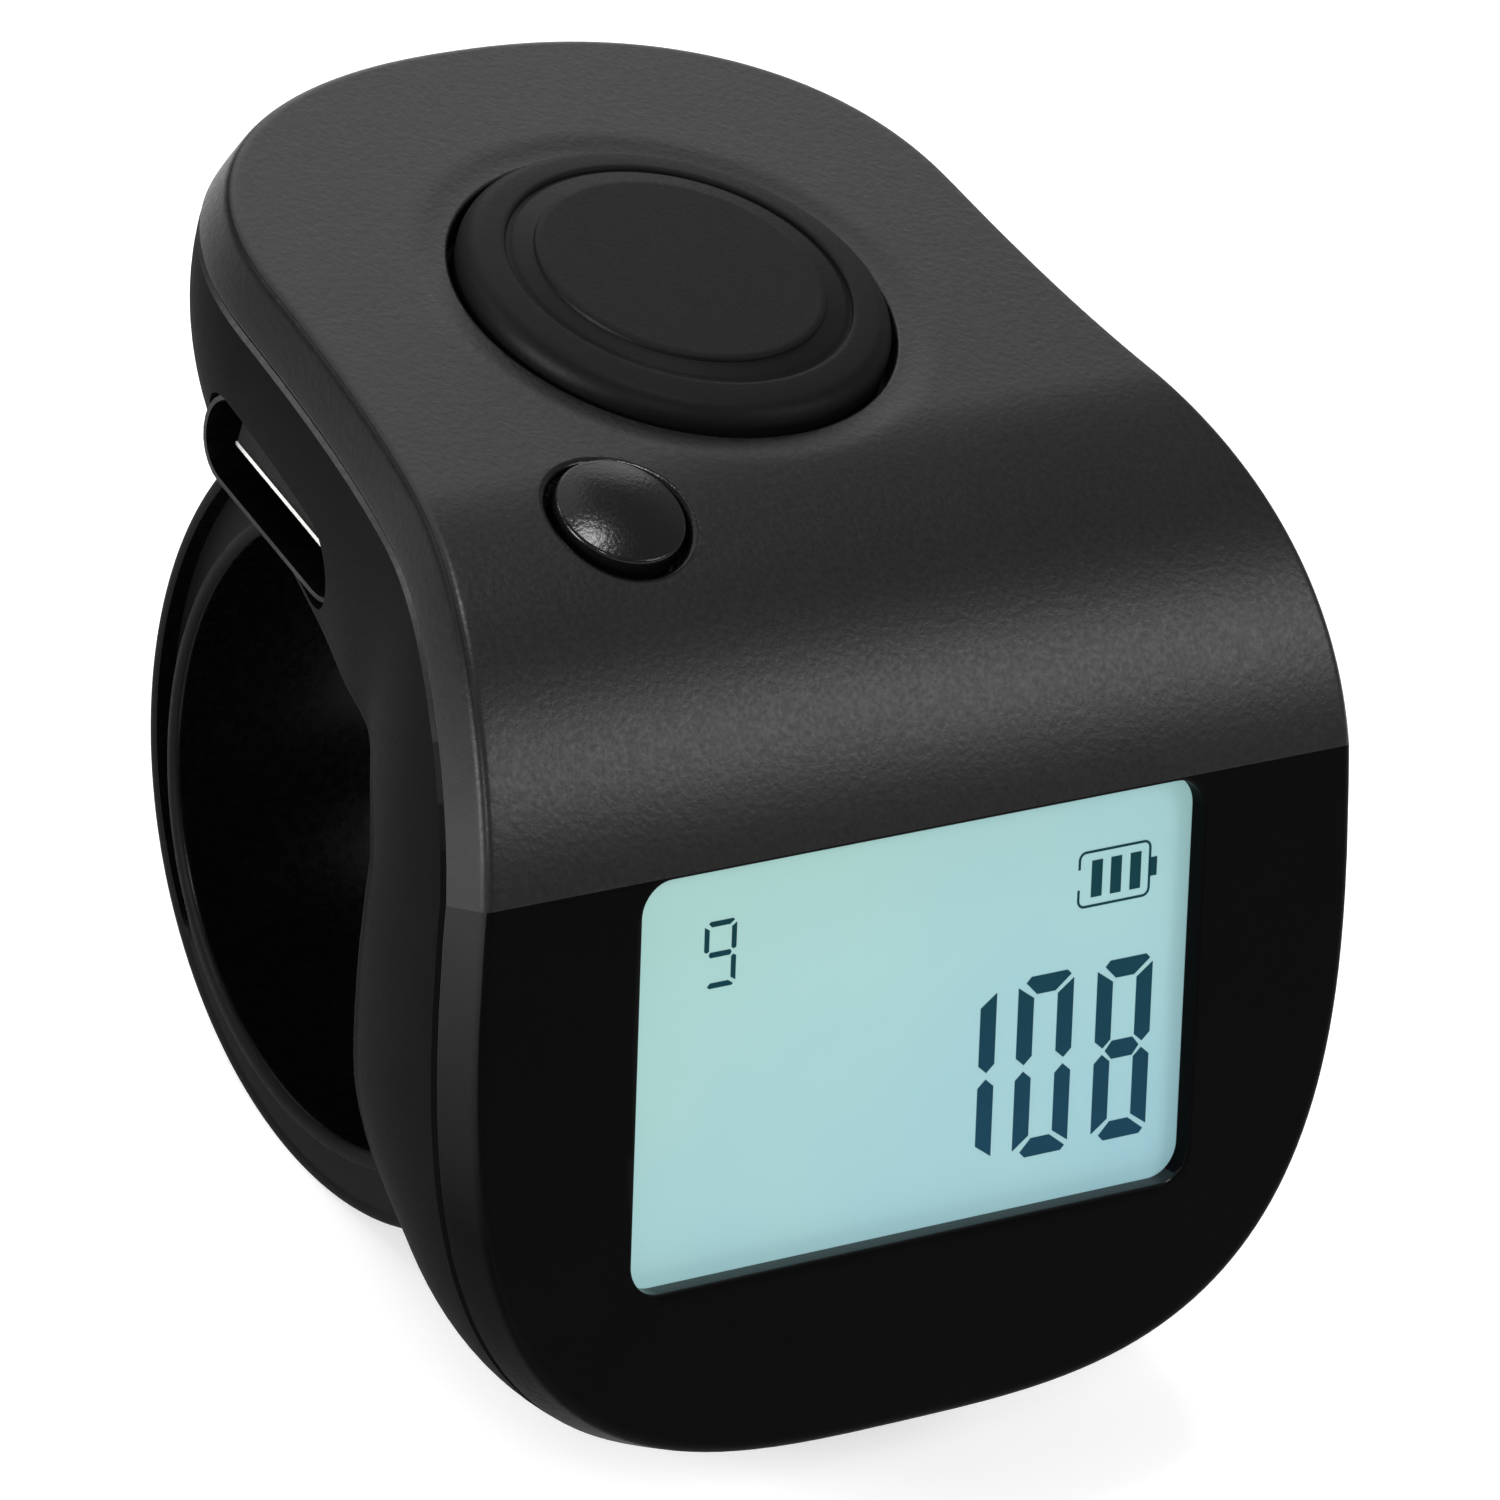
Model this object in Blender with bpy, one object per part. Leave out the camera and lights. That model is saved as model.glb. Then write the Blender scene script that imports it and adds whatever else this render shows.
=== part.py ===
"""Digital finger counter: a hooked housing on a finger band, with two keys and a display.

Frame: +X to the wearer's right of the display, +Y to the rear, +Z out of the top face.
The origin is the centre of the finger hole. All lengths are given in millimetres times MM.
"""
import math

import bmesh
import bpy
from mathutils import Matrix, Vector

MM = 0.001

# Housing: the side profile is a flat top, a round bend and a flat front that leans back.
FINGER_RADIUS = 9.4 * MM
BEND_RADIUS = 12.0 * MM
FINGER_TO_BEND = 4.9 * MM
BEND_ANGLE = math.radians(62.2)
FRONT_LEAN = math.radians(21.8)

# Housing: the half width swells from the rear to the front, and both ends are superellipses.
WINDOW_SIDE = 4.25 * MM
WIDTH_SWING = 1.67 * MM
SWELL_CENTRE = 3.4 * MM
SWELL_LENGTH = 7.9 * MM
REAR_START = 9.5 * MM
REAR_REACH = 10.0 * MM
REAR_POWER = 2.25
FRONT_START = 1.3 * MM
FRONT_REACH = 17.2 * MM
FRONT_POWER = 3.15

# Housing: edge rounding, seam and walls.
EDGE_INSET = 0.95 * MM
EDGE_DEPTH = 0.9 * MM
SEAM_DEPTH = 1.6 * MM
SEAM_GAP = 0.25 * MM
OUTER_WALL = 1.2 * MM
SIDE_WALL = 1.3 * MM
HULL_INSET = 1.1 * MM
FLOOR_WALL = 1.0 * MM
FINGER_EDGE = 0.35 * MM

# Front limb: how its finger side leaves the even depth of the top limb.
THIN_START = -10.0 * MM
THIN_END = 1.0 * MM
THIN_AMOUNT = 0.5 * MM
THICK_END = 9.5 * MM
THICK_AMOUNT = 0.7 * MM
TAIL_START = 6.8 * MM
TAIL_END = 12.3 * MM
TAIL_AMOUNT = 1.2 * MM

# Finger band: its outer circle is larger and higher than the finger hole.
BAND_HALF_WIDTH = 7.95 * MM
BAND_THICKNESS = 2.65 * MM
BAND_OUTER_Y = -0.75 * MM
BAND_OUTER_Z = 1.0 * MM
BAND_TOP_END = math.radians(67.5)
BAND_FRONT_END = math.radians(-202.0)
BAND_GAP = 0.3 * MM
TAB_HALF_WIDTH = 4.0 * MM
TAB_THICKNESS = 1.0 * MM
TAB_HOOK = 0.5 * MM
TAB_GAP = 0.2 * MM
REAR_TAB_Y = 7.0 * MM
FRONT_TAB_Z = 1.1 * MM

# Keys.
KEY_GAP = 0.2 * MM
KEY_SEAT_GAP = 0.25 * MM
COUNT_Y = 2.0 * MM
COUNT_RADIUS = 6.5 * MM
COUNT_CREASE_RADIUS = 5.1 * MM
COUNT_PLATEAU_RADIUS = 4.37 * MM
COUNT_SHOULDER = 0.72 * MM
COUNT_HEIGHT = 0.99 * MM
COUNT_TRAVEL = 0.3 * MM
RESET_X = -7.26 * MM
RESET_TILT = math.radians(10.6)
RESET_RADIUS = 1.95 * MM
RESET_HEIGHT = 0.4 * MM
RESET_TRAVEL = 0.25 * MM
KEY_SKIN = 1.1 * MM
KEY_LIP = 0.65 * MM
LIP_THICKNESS = 0.5 * MM
COUNT_POST_RADIUS = 1.8 * MM
RESET_POST_RADIUS = 0.8 * MM

# Boards and what sits on them.
BOARD_GAP = 0.1 * MM
KEY_BOARD_THICKNESS = 0.8 * MM
KEY_BOARD_SIDE_GAP = 0.88 * MM
KEY_BOARD_REAR_GAP = 1.7 * MM
KEY_BOARD_LEAD = 5.3 * MM
KEY_BOARD_CHAMFER = 1.5 * MM
SWITCH_SIZE = 4.6 * MM
SWITCH_HEIGHT = 1.1 * MM
SWITCH_STEM_RADIUS = 1.1 * MM
SMALL_SWITCH_SIZE = 3.2 * MM
SMALL_SWITCH_HEIGHT = 0.8 * MM
SMALL_STEM_RADIUS = 0.65 * MM
STEM_WALL_GAP = 0.15 * MM
STEM_FLOOR = 0.25 * MM

# Charging socket.
SOCKET_Y = 2.7 * MM
SOCKET_WIDTH = 8.2 * MM
SOCKET_HEIGHT = 2.85 * MM
SOCKET_WALL = 0.15 * MM
SOCKET_RECESS = 0.9 * MM
SOCKET_LENGTH = 7.1 * MM
SLOT_GAP = 0.1 * MM
TONGUE_WIDTH = 6.2 * MM
TONGUE_THICKNESS = 0.7 * MM
TONGUE_RECESS = 0.6 * MM
SOCKET_BLOCK = 1.6 * MM

# Display, given down the flat front from the crease at the end of the bend.
WINDOW_WIDTH = 19.7 * MM
WINDOW_HEIGHT = 12.4 * MM
WINDOW_TOP = 0.1 * MM
WINDOW_CORNER = 1.0 * MM
WINDOW_LIP = 0.6 * MM
DISPLAY_GAP = 0.1 * MM
FILM_THICKNESS = 0.2 * MM
CELL_THICKNESS = 1.1 * MM
CELL_SIDE_OVERLAP = 0.8 * MM
CELL_BOTTOM_OVERLAP = 0.65 * MM
CELL_LEDGE = 1.2 * MM
POCKET_GAP = 0.25 * MM
FRAME_THICKNESS = 0.8 * MM
FRAME_RIM = 0.5 * MM
FRAME_BAR = 0.3 * MM
STRIP_WIDTH = 0.7 * MM
STRIP_LENGTH = 18.0 * MM
LIGHT_LENGTH = 0.9 * MM
LIGHT_WIDTH = 1.6 * MM
DISPLAY_BOARD_THICKNESS = 0.6 * MM
DISPLAY_BOARD_EDGE = 0.8 * MM
DISPLAY_BOARD_TOP = -1.6 * MM
DISPLAY_BOARD_BOTTOM = 10.5 * MM
CHIP_RADIUS = 3.2 * MM
CHIP_HEIGHT = 0.8 * MM
CHIP_DOWN = 5.2 * MM

# Fasteners of the boards.
SCREW_RADIUS = 0.45 * MM
SCREW_HEAD_RADIUS = 1.0 * MM
SCREW_HEAD_HEIGHT = 0.5 * MM
SCREW_BITE = 1.5 * MM
SCREW_GAP = 0.15 * MM
BOSS_WALL = 0.5 * MM
BOSS_CLEARANCE = 0.4 * MM
KEY_SCREW_REAR_EDGE = (1.8 * MM, 3.1 * MM)
KEY_SCREW_SIDE_EDGE = 0.9 * MM
KEY_SCREW_SIDE_Y = -3.0 * MM
DISPLAY_SCREW_DOWN = (0.9 * MM, 8.9 * MM)

# Battery and wiring.
BATTERY_THICKNESS = 1.75 * MM
BATTERY_ROOM = 0.2 * MM
BATTERY_SOCKET_GAP = 0.8 * MM
BATTERY_SCREW_GAP = 0.5 * MM
BATTERY_TAB_GAP = 0.6 * MM
BATTERY_LEAD = 2.1 * MM
BATTERY_CORNER = 0.5 * MM
TAPE_THICKNESS = 0.25 * MM
TAPE_MARGIN = 1.2 * MM
LEAD_RADIUS = 0.35 * MM
LEAD_PLACES = (3.0 * MM, 4.6 * MM)
LEAD_LOOP = 1.6 * MM
RIBBON_LEFT = -9.0 * MM
RIBBON_RIGHT = -1.0 * MM
RIBBON_THICKNESS = 0.2 * MM
RIBBON_LAP = 1.6 * MM
CHARGER_SIZE = 3.0 * MM
CHARGER_HEIGHT = 0.8 * MM
CHARGER_X = 6.6 * MM
CHARGER_LEAD = 3.1 * MM
CAPACITOR_LENGTH = 1.6 * MM
CAPACITOR_WIDTH = 0.8 * MM
CAPACITOR_HEIGHT = 0.5 * MM
CAPACITOR_COUNT = 4
CAPACITOR_PITCH = 2.1 * MM
CAPACITOR_START_X = -2.2 * MM
CAPACITOR_LEAD = 3.3 * MM

# Facets.
END_STEPS = 12
TOP_STEPS = 3
BEND_STEPS = 14
HULL_STEPS = 4
EDGE_STEPS = 3
BAND_STEPS = 72
ROUND_STEPS = 48
SMALL_STEPS = 20

# The top limb is as thick as what is stacked in it, and the housing as wide as its window asks.
KEY_BACK = OUTER_WALL + KEY_SEAT_GAP + LIP_THICKNESS
KEY_STACK = KEY_BACK + COUNT_TRAVEL + SWITCH_HEIGHT + KEY_BOARD_THICKNESS + 2.5 * BOARD_GAP
CELL_STACK = BATTERY_ROOM + BATTERY_THICKNESS + TAPE_THICKNESS + 2.0 * BOARD_GAP
TOP_THICKNESS = KEY_STACK + CELL_STACK + FLOOR_WALL
WIDTH_MEAN = WINDOW_WIDTH / 2.0 + WINDOW_SIDE

# Values worked out from the sizes above.
TOP_Z = FINGER_RADIUS + TOP_THICKNESS
BEND_START = FINGER_TO_BEND - FINGER_RADIUS
BEND_LENGTH = BEND_RADIUS * BEND_ANGLE
BEND_Z = TOP_Z - BEND_RADIUS
FRONT_TURN = math.pi / 2.0 - FRONT_LEAN
REAR_Y = BEND_START + REAR_START
BAND_OUTER_RADIUS = FINGER_RADIUS + BAND_THICKNESS
CEILING_Z = TOP_Z - OUTER_WALL
FLOOR_Z = FINGER_RADIUS + FLOOR_WALL
RESET_ARC = BEND_RADIUS * RESET_TILT
STEM_TOP_Z = TOP_Z - KEY_BACK - BOARD_GAP
SWITCH_TOP_Z = STEM_TOP_Z - COUNT_TRAVEL - BOARD_GAP / 2.0
KEY_BOARD_TOP = SWITCH_TOP_Z - SWITCH_HEIGHT - BOARD_GAP
KEY_BOARD_BASE = KEY_BOARD_TOP - KEY_BOARD_THICKNESS
KEY_BOARD_FRONT = BEND_START - KEY_BOARD_LEAD
KEY_BOARD_REAR = REAR_Y + REAR_REACH - SIDE_WALL - KEY_BOARD_REAR_GAP
BATTERY_FRONT = BEND_START - BATTERY_LEAD
BATTERY_REAR = REAR_TAB_Y - TAB_THICKNESS / 2.0 - TAB_GAP - BATTERY_TAB_GAP
BOSS_RADIUS = SCREW_RADIUS + SCREW_GAP + BOSS_WALL
SOCKET_Z = KEY_BOARD_BASE - BOARD_GAP - SOCKET_HEIGHT / 2.0
FILM_DEPTH = WINDOW_LIP + DISPLAY_GAP
CELL_DEPTH = FILM_DEPTH + FILM_THICKNESS + DISPLAY_GAP
CELL_BACK = CELL_DEPTH + CELL_THICKNESS
CELL_HALF_WIDTH = WINDOW_WIDTH / 2.0 + CELL_SIDE_OVERLAP
CELL_TOP = WINDOW_TOP - CELL_LEDGE
CELL_BOTTOM = WINDOW_TOP + WINDOW_HEIGHT + CELL_BOTTOM_OVERLAP
FRAME_DEPTH = CELL_BACK + DISPLAY_GAP
FRAME_BACK = FRAME_DEPTH + FRAME_THICKNESS
DISPLAY_BOARD_DEPTH = FRAME_BACK + DISPLAY_GAP
DISPLAY_BOARD_BACK = DISPLAY_BOARD_DEPTH + DISPLAY_BOARD_THICKNESS
STRIP_TOP = CELL_TOP + DISPLAY_GAP
STRIP_BOTTOM = STRIP_TOP + STRIP_WIDTH
PANEL_TOP = STRIP_BOTTOM + FRAME_BAR + 2.0 * DISPLAY_GAP
PANEL_HALF_WIDTH = CELL_HALF_WIDTH - DISPLAY_GAP
DISPLAY_SCREW_X = CELL_HALF_WIDTH + DISPLAY_GAP + BOSS_RADIUS + BOSS_CLEARANCE
DISPLAY_BOARD_HALF_WIDTH = DISPLAY_SCREW_X + DISPLAY_BOARD_EDGE


def ramp(value, start, end):
    """Rise from 0 at start to 1 at end, straight."""
    return min(max((value - start) / (end - start), 0.0), 1.0)


def ease(value, start, end):
    """Rise from 0 at start to 1 at end, level at both."""
    t = ramp(value, start, end)
    return t * t * (3.0 - 2.0 * t)


def half_width(along):
    """Half width of the housing at a place along its outer profile."""
    return WIDTH_MEAN + WIDTH_SWING * math.tanh((along - SWELL_CENTRE) / SWELL_LENGTH)


def key_board_half_width():
    """Half width of the key board, which clears the side walls where the housing narrows."""
    return half_width(-REAR_START) - SIDE_WALL - KEY_BOARD_SIDE_GAP


def key_screw_places():
    """Places (x, y) of the key board's screws: two at the rear and one at the right side."""
    edge, rear = KEY_SCREW_REAR_EDGE
    x = key_board_half_width() - edge
    y = KEY_BOARD_REAR - rear
    side = (key_board_half_width() - KEY_SCREW_SIDE_EDGE, KEY_SCREW_SIDE_Y)
    return (-x, y), (x, y), side


def socket_mouth():
    """Where the charging socket's mouth stands on X, behind the left wall."""
    return SOCKET_RECESS - half_width(BEND_START - SOCKET_Y)


def battery_sides():
    """Left and right sides of the battery, between the socket and the side screw's head."""
    left = socket_mouth() + SOCKET_LENGTH + BATTERY_SOCKET_GAP
    return left, key_screw_places()[2][0] - SCREW_HEAD_RADIUS - BATTERY_SCREW_GAP


def profile_point(along, depth):
    """Point (y, z) of the profile, 0 along being the start of the bend, depth into the body."""
    if along <= 0.0:
        return BEND_START - along, TOP_Z - depth
    angle = min(along / BEND_RADIUS, BEND_ANGLE)
    past = max(along - BEND_LENGTH, 0.0)
    y = BEND_START - BEND_RADIUS * math.sin(angle) - past * math.sin(FRONT_LEAN)
    z = BEND_Z + BEND_RADIUS * math.cos(angle) - past * math.cos(FRONT_LEAN)
    turn = angle
    if past > 0.0:
        turn = FRONT_TURN
    elif along >= BEND_LENGTH:
        turn = (BEND_ANGLE + FRONT_TURN) / 2.0
    return y + depth * math.sin(turn), z - depth * math.cos(turn)


def finger_depth(along):
    """Depth of the housing's finger side below its outer surface."""
    past = along - BEND_LENGTH
    depth = TOP_THICKNESS - THIN_AMOUNT * ease(past, THIN_START, THIN_END)
    depth += THICK_AMOUNT * ramp(past, THIN_END, THICK_END)
    return depth - TAIL_AMOUNT * ease(past, TAIL_START, TAIL_END)


def half_outline(inset):
    """Places (x, along) from the rear tip to the bottom tip, one side, drawn in by inset."""
    front = BEND_LENGTH + FRONT_START
    places = []
    for step in range(END_STEPS + 1):
        angle = math.pi / 2.0 * step / END_STEPS
        along = -REAR_START - (REAR_REACH - inset) * max(math.cos(angle), 0.0) ** (2.0 / REAR_POWER)
        x = (half_width(along) - inset) * math.sin(angle) ** (2.0 / REAR_POWER)
        places.append((x, along))
    middle = [-REAR_START * (1.0 - step / TOP_STEPS) for step in range(1, TOP_STEPS)]
    middle += [BEND_LENGTH * step / BEND_STEPS for step in range(BEND_STEPS + 1)]
    places += [(half_width(along) - inset, along) for along in middle]
    for step in range(END_STEPS + 1):
        angle = math.pi / 2.0 * step / END_STEPS
        along = front + (FRONT_REACH - inset) * math.sin(angle) ** (2.0 / FRONT_POWER)
        x = (half_width(along) - inset) * max(math.cos(angle), 0.0) ** (2.0 / FRONT_POWER)
        places.append((x, along))
    places[0] = (0.0, places[0][1])
    places[-1] = (0.0, places[-1][1])
    return places


def housing_loop(inset, depth_at):
    """Closed loop of points round the housing, left side first."""
    half = []
    for x, along in half_outline(inset):
        y, z = profile_point(along, depth_at(along))
        half.append(Vector((-x, y, z)))
    mirrored = [Vector((-point.x, point.y, point.z)) for point in half[-2:0:-1]]
    return half + mirrored


def housing_solid(mesh, loops):
    """Closed solid through the loops, its two ends filled with rungs from side to side."""
    rows = [[mesh.verts.new(point) for point in loop] for loop in loops]
    count = len(rows[0])
    for lower, upper in zip(rows, rows[1:]):
        for index in range(count):
            after = (index + 1) % count
            mesh.faces.new((lower[index], lower[after], upper[after], upper[index]))
    tip = count // 2
    for row in (rows[0], rows[-1]):
        mesh.faces.new((row[0], row[1], row[-1]))
        mesh.faces.new((row[tip - 1], row[tip], row[tip + 1]))
        for index in range(1, tip - 1):
            mesh.faces.new((row[index], row[index + 1], row[count - index - 1], row[count - index]))
    bmesh.ops.recalc_face_normals(mesh, faces=mesh.faces[:])


def hull_level(share, extra_inset, top_depth, bottom_gap):
    """Loop on the lower shell's side: share 0 is the seam and 1 is the finger side."""
    def depth_at(along):
        return top_depth + (finger_depth(along) + bottom_gap - top_depth) * share
    return housing_loop(HULL_INSET * share * share + extra_inset, depth_at)


def flat_depth(depth):
    """Depth rule that is the same everywhere."""
    return lambda along: depth


def add_box(mesh, low, high):
    """Axis-aligned box between two corners."""
    size = [high[axis] - low[axis] for axis in range(3)]
    middle = [(high[axis] + low[axis]) / 2.0 for axis in range(3)]
    matrix = Matrix.Translation(middle) @ Matrix.Diagonal((*size, 1.0))
    bmesh.ops.create_cube(mesh, size=1.0, matrix=matrix)


def add_cylinder(mesh, radius, bottom, top, place=(0.0, 0.0), segments=ROUND_STEPS):
    """Upright cylinder between two heights."""
    matrix = Matrix.Translation((place[0], place[1], (bottom + top) / 2.0))
    bmesh.ops.create_cone(mesh, cap_ends=True, segments=segments, radius1=radius,
                          radius2=radius, depth=top - bottom, matrix=matrix)


def add_turned(mesh, profile, segments=ROUND_STEPS):
    """Solid turned about Z from (radius, z) points whose first and last lie on the axis."""
    rings = []
    for radius, z in profile[1:-1]:
        ring = []
        for index in range(segments):
            angle = 2.0 * math.pi * index / segments
            ring.append(mesh.verts.new((radius * math.cos(angle), radius * math.sin(angle), z)))
        rings.append(ring)
    first = mesh.verts.new((0.0, 0.0, profile[0][1]))
    last = mesh.verts.new((0.0, 0.0, profile[-1][1]))
    for index in range(segments):
        after = (index + 1) % segments
        mesh.faces.new((first, rings[0][index], rings[0][after]))
        mesh.faces.new((last, rings[-1][after], rings[-1][index]))
        for upper, lower in zip(rings, rings[1:]):
            mesh.faces.new((upper[index], lower[index], lower[after], upper[after]))
    bmesh.ops.recalc_face_normals(mesh, faces=mesh.faces[:])


def add_prism(mesh, outline, low, high, axis):
    """Prism of a 2-D outline along X ('X', outline in y, z) or Z ('Z', outline in x, y)."""
    def place(point, level):
        if axis == 'X':
            return (level, point[0], point[1])
        return (point[0], point[1], level)
    bottom = [mesh.verts.new(place(point, low)) for point in outline]
    top = [mesh.verts.new(place(point, high)) for point in outline]
    count = len(outline)
    faces = [mesh.faces.new(bottom), mesh.faces.new(top)]
    for index in range(count):
        after = (index + 1) % count
        faces.append(mesh.faces.new((bottom[index], bottom[after], top[after], top[index])))
    bmesh.ops.recalc_face_normals(mesh, faces=faces)


def rounded_rectangle(half_x, half_y, radius, steps=5):
    """Outline of a rectangle about the origin with round corners."""
    points = []
    for quarter, (side_x, side_y) in enumerate(((1, 1), (-1, 1), (-1, -1), (1, -1))):
        for step in range(steps + 1):
            angle = math.pi / 2.0 * (quarter + step / steps)
            points.append((side_x * (half_x - radius) + radius * math.cos(angle),
                           side_y * (half_y - radius) + radius * math.sin(angle)))
    return points


def shifted(outline, dx, dy):
    """The outline moved."""
    return [(x + dx, y + dy) for x, y in outline]


def material(name, colour, roughness, metallic=0.0):
    """Plain Principled material."""
    made = bpy.data.materials.new(name)
    made.use_nodes = True
    shader = made.node_tree.nodes["Principled BSDF"]
    shader.inputs["Base Color"].default_value = (*colour, 1.0)
    shader.inputs["Roughness"].default_value = roughness
    shader.inputs["Metallic"].default_value = metallic
    made.diffuse_color = (*colour, 1.0)
    return made


def finish(name, mesh, look, matrix=Matrix.Identity(4)):
    """Object from a bmesh, placed by its matrix."""
    data = bpy.data.meshes.new(name)
    mesh.to_mesh(data)
    mesh.free()
    data.shade_smooth()
    data.set_sharp_from_angle(angle=math.radians(30.0))
    made = bpy.data.objects.new(name, data)
    made.matrix_world = matrix
    if look is not None:
        data.materials.append(look)
    bpy.context.scene.collection.objects.link(made)
    return made


def combine(target, tool_mesh, operation, name, matrix=Matrix.Identity(4)):
    """Boolean of the target with a hidden tool made from a bmesh."""
    tool = finish(name, tool_mesh, None, matrix)
    tool.hide_render = True
    tool.display_type = 'WIRE'
    modifier = target.modifiers.new(name, 'BOOLEAN')
    modifier.operation = operation
    modifier.solver = 'EXACT'
    modifier.object = tool


def front_matrix():
    """Frame on the flat front: local -Y runs down it from the crease, local +Z points out."""
    y, z = profile_point(BEND_LENGTH, 0.0)
    return Matrix.Translation((0.0, y, z)) @ Matrix.Rotation(math.pi / 2.0 - FRONT_LEAN, 4, 'X')


def add_front_box(mesh, left, right, down_top, down_bottom, depth_front, depth_back):
    """Box in the front frame, by how far down the front and how deep behind it."""
    add_box(mesh, (left, -down_bottom, -depth_back), (right, -down_top, -depth_front))


def reset_matrix():
    """Frame on the reset key's axis, at the outer surface, local +Z out of the housing."""
    y, z = profile_point(RESET_ARC, 0.0)
    return Matrix.Translation((RESET_X, y, z)) @ Matrix.Rotation(RESET_TILT, 4, 'X')


def small_switch_place():
    """Where the reset key's axis meets the top of its switch stem, seen from above."""
    axis = reset_matrix()
    rise = axis.translation.z - small_stem_top()
    return RESET_X, axis.translation.y + rise * math.tan(RESET_TILT)


def small_stem_top():
    """Top of the reset switch's stem."""
    return KEY_BOARD_TOP + BOARD_GAP + SMALL_SWITCH_HEIGHT + RESET_TRAVEL + BOARD_GAP / 2.0


def make_outer_shell():
    """Top cover, bend and display face in one moulding."""
    loops = []
    for step in range(EDGE_STEPS + 1):
        angle = math.pi / 2.0 * step / EDGE_STEPS
        inset = EDGE_INSET * (1.0 - math.sin(angle))
        loops.append(housing_loop(inset, flat_depth(EDGE_DEPTH * (1.0 - math.cos(angle)))))
    loops.append(housing_loop(0.0, flat_depth(SEAM_DEPTH)))
    loops.append(housing_loop(SIDE_WALL, flat_depth(SEAM_DEPTH)))
    loops.append(housing_loop(SIDE_WALL, flat_depth(OUTER_WALL)))
    mesh = bmesh.new()
    housing_solid(mesh, loops)
    shell = finish("outer_shell", mesh, material("black_abs_outer", (0.055, 0.056, 0.06), 0.5))

    posts = bmesh.new()
    for place in key_screw_places():
        add_cylinder(posts, BOSS_RADIUS, KEY_BOARD_TOP + BOARD_GAP, CEILING_Z + OUTER_WALL / 2.0,
                     place, SMALL_STEPS)
    combine(shell, posts, 'UNION', "key_board_bosses")
    posts = bmesh.new()
    for side in (-1.0, 1.0):
        for down in DISPLAY_SCREW_DOWN:
            add_cylinder(posts, BOSS_RADIUS, -DISPLAY_BOARD_DEPTH + DISPLAY_GAP, -OUTER_WALL / 2.0,
                         (side * DISPLAY_SCREW_X, -down), SMALL_STEPS)
    combine(shell, posts, 'UNION', "display_board_bosses", front_matrix())

    holes = bmesh.new()
    add_cylinder(holes, COUNT_RADIUS + KEY_GAP, CEILING_Z - OUTER_WALL, TOP_Z + OUTER_WALL,
                 (0.0, COUNT_Y))
    bite_top = KEY_BOARD_TOP + BOARD_GAP + SCREW_BITE + SCREW_GAP
    for place in key_screw_places():
        add_cylinder(holes, SCREW_RADIUS + SCREW_GAP, KEY_BOARD_BASE, bite_top, place, SMALL_STEPS)
    combine(shell, holes, 'DIFFERENCE', "top_holes")
    holes = bmesh.new()
    hole = RESET_RADIUS + KEY_GAP
    pocket = hole + KEY_LIP
    add_turned(holes, [(0.0, OUTER_WALL), (hole, OUTER_WALL), (hole, -OUTER_WALL),
                       (pocket, -OUTER_WALL), (pocket, -KEY_BACK), (0.0, -KEY_BACK)])
    combine(shell, holes, 'DIFFERENCE', "reset_hole", reset_matrix())
    window = bmesh.new()
    outline = rounded_rectangle(WINDOW_WIDTH / 2.0, WINDOW_HEIGHT / 2.0, WINDOW_CORNER)
    middle = WINDOW_TOP + WINDOW_HEIGHT / 2.0
    add_prism(window, shifted(outline, 0.0, -middle), -WINDOW_LIP - OUTER_WALL, OUTER_WALL, 'Z')
    combine(shell, window, 'DIFFERENCE', "window_opening", front_matrix())
    pocket = bmesh.new()
    half = CELL_HALF_WIDTH + POCKET_GAP
    add_front_box(pocket, -half, half, CELL_TOP - POCKET_GAP, CELL_BOTTOM + POCKET_GAP,
                  WINDOW_LIP, WINDOW_LIP + OUTER_WALL)
    combine(shell, pocket, 'DIFFERENCE', "display_pocket", front_matrix())
    holes = bmesh.new()
    for side in (-1.0, 1.0):
        for down in DISPLAY_SCREW_DOWN:
            bite = DISPLAY_BOARD_DEPTH - DISPLAY_GAP - SCREW_BITE - SCREW_GAP
            add_cylinder(holes, SCREW_RADIUS + SCREW_GAP, -DISPLAY_BOARD_BACK, -bite,
                         (side * DISPLAY_SCREW_X, -down), SMALL_STEPS)
    combine(shell, holes, 'DIFFERENCE', "display_screw_holes", front_matrix())


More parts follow.
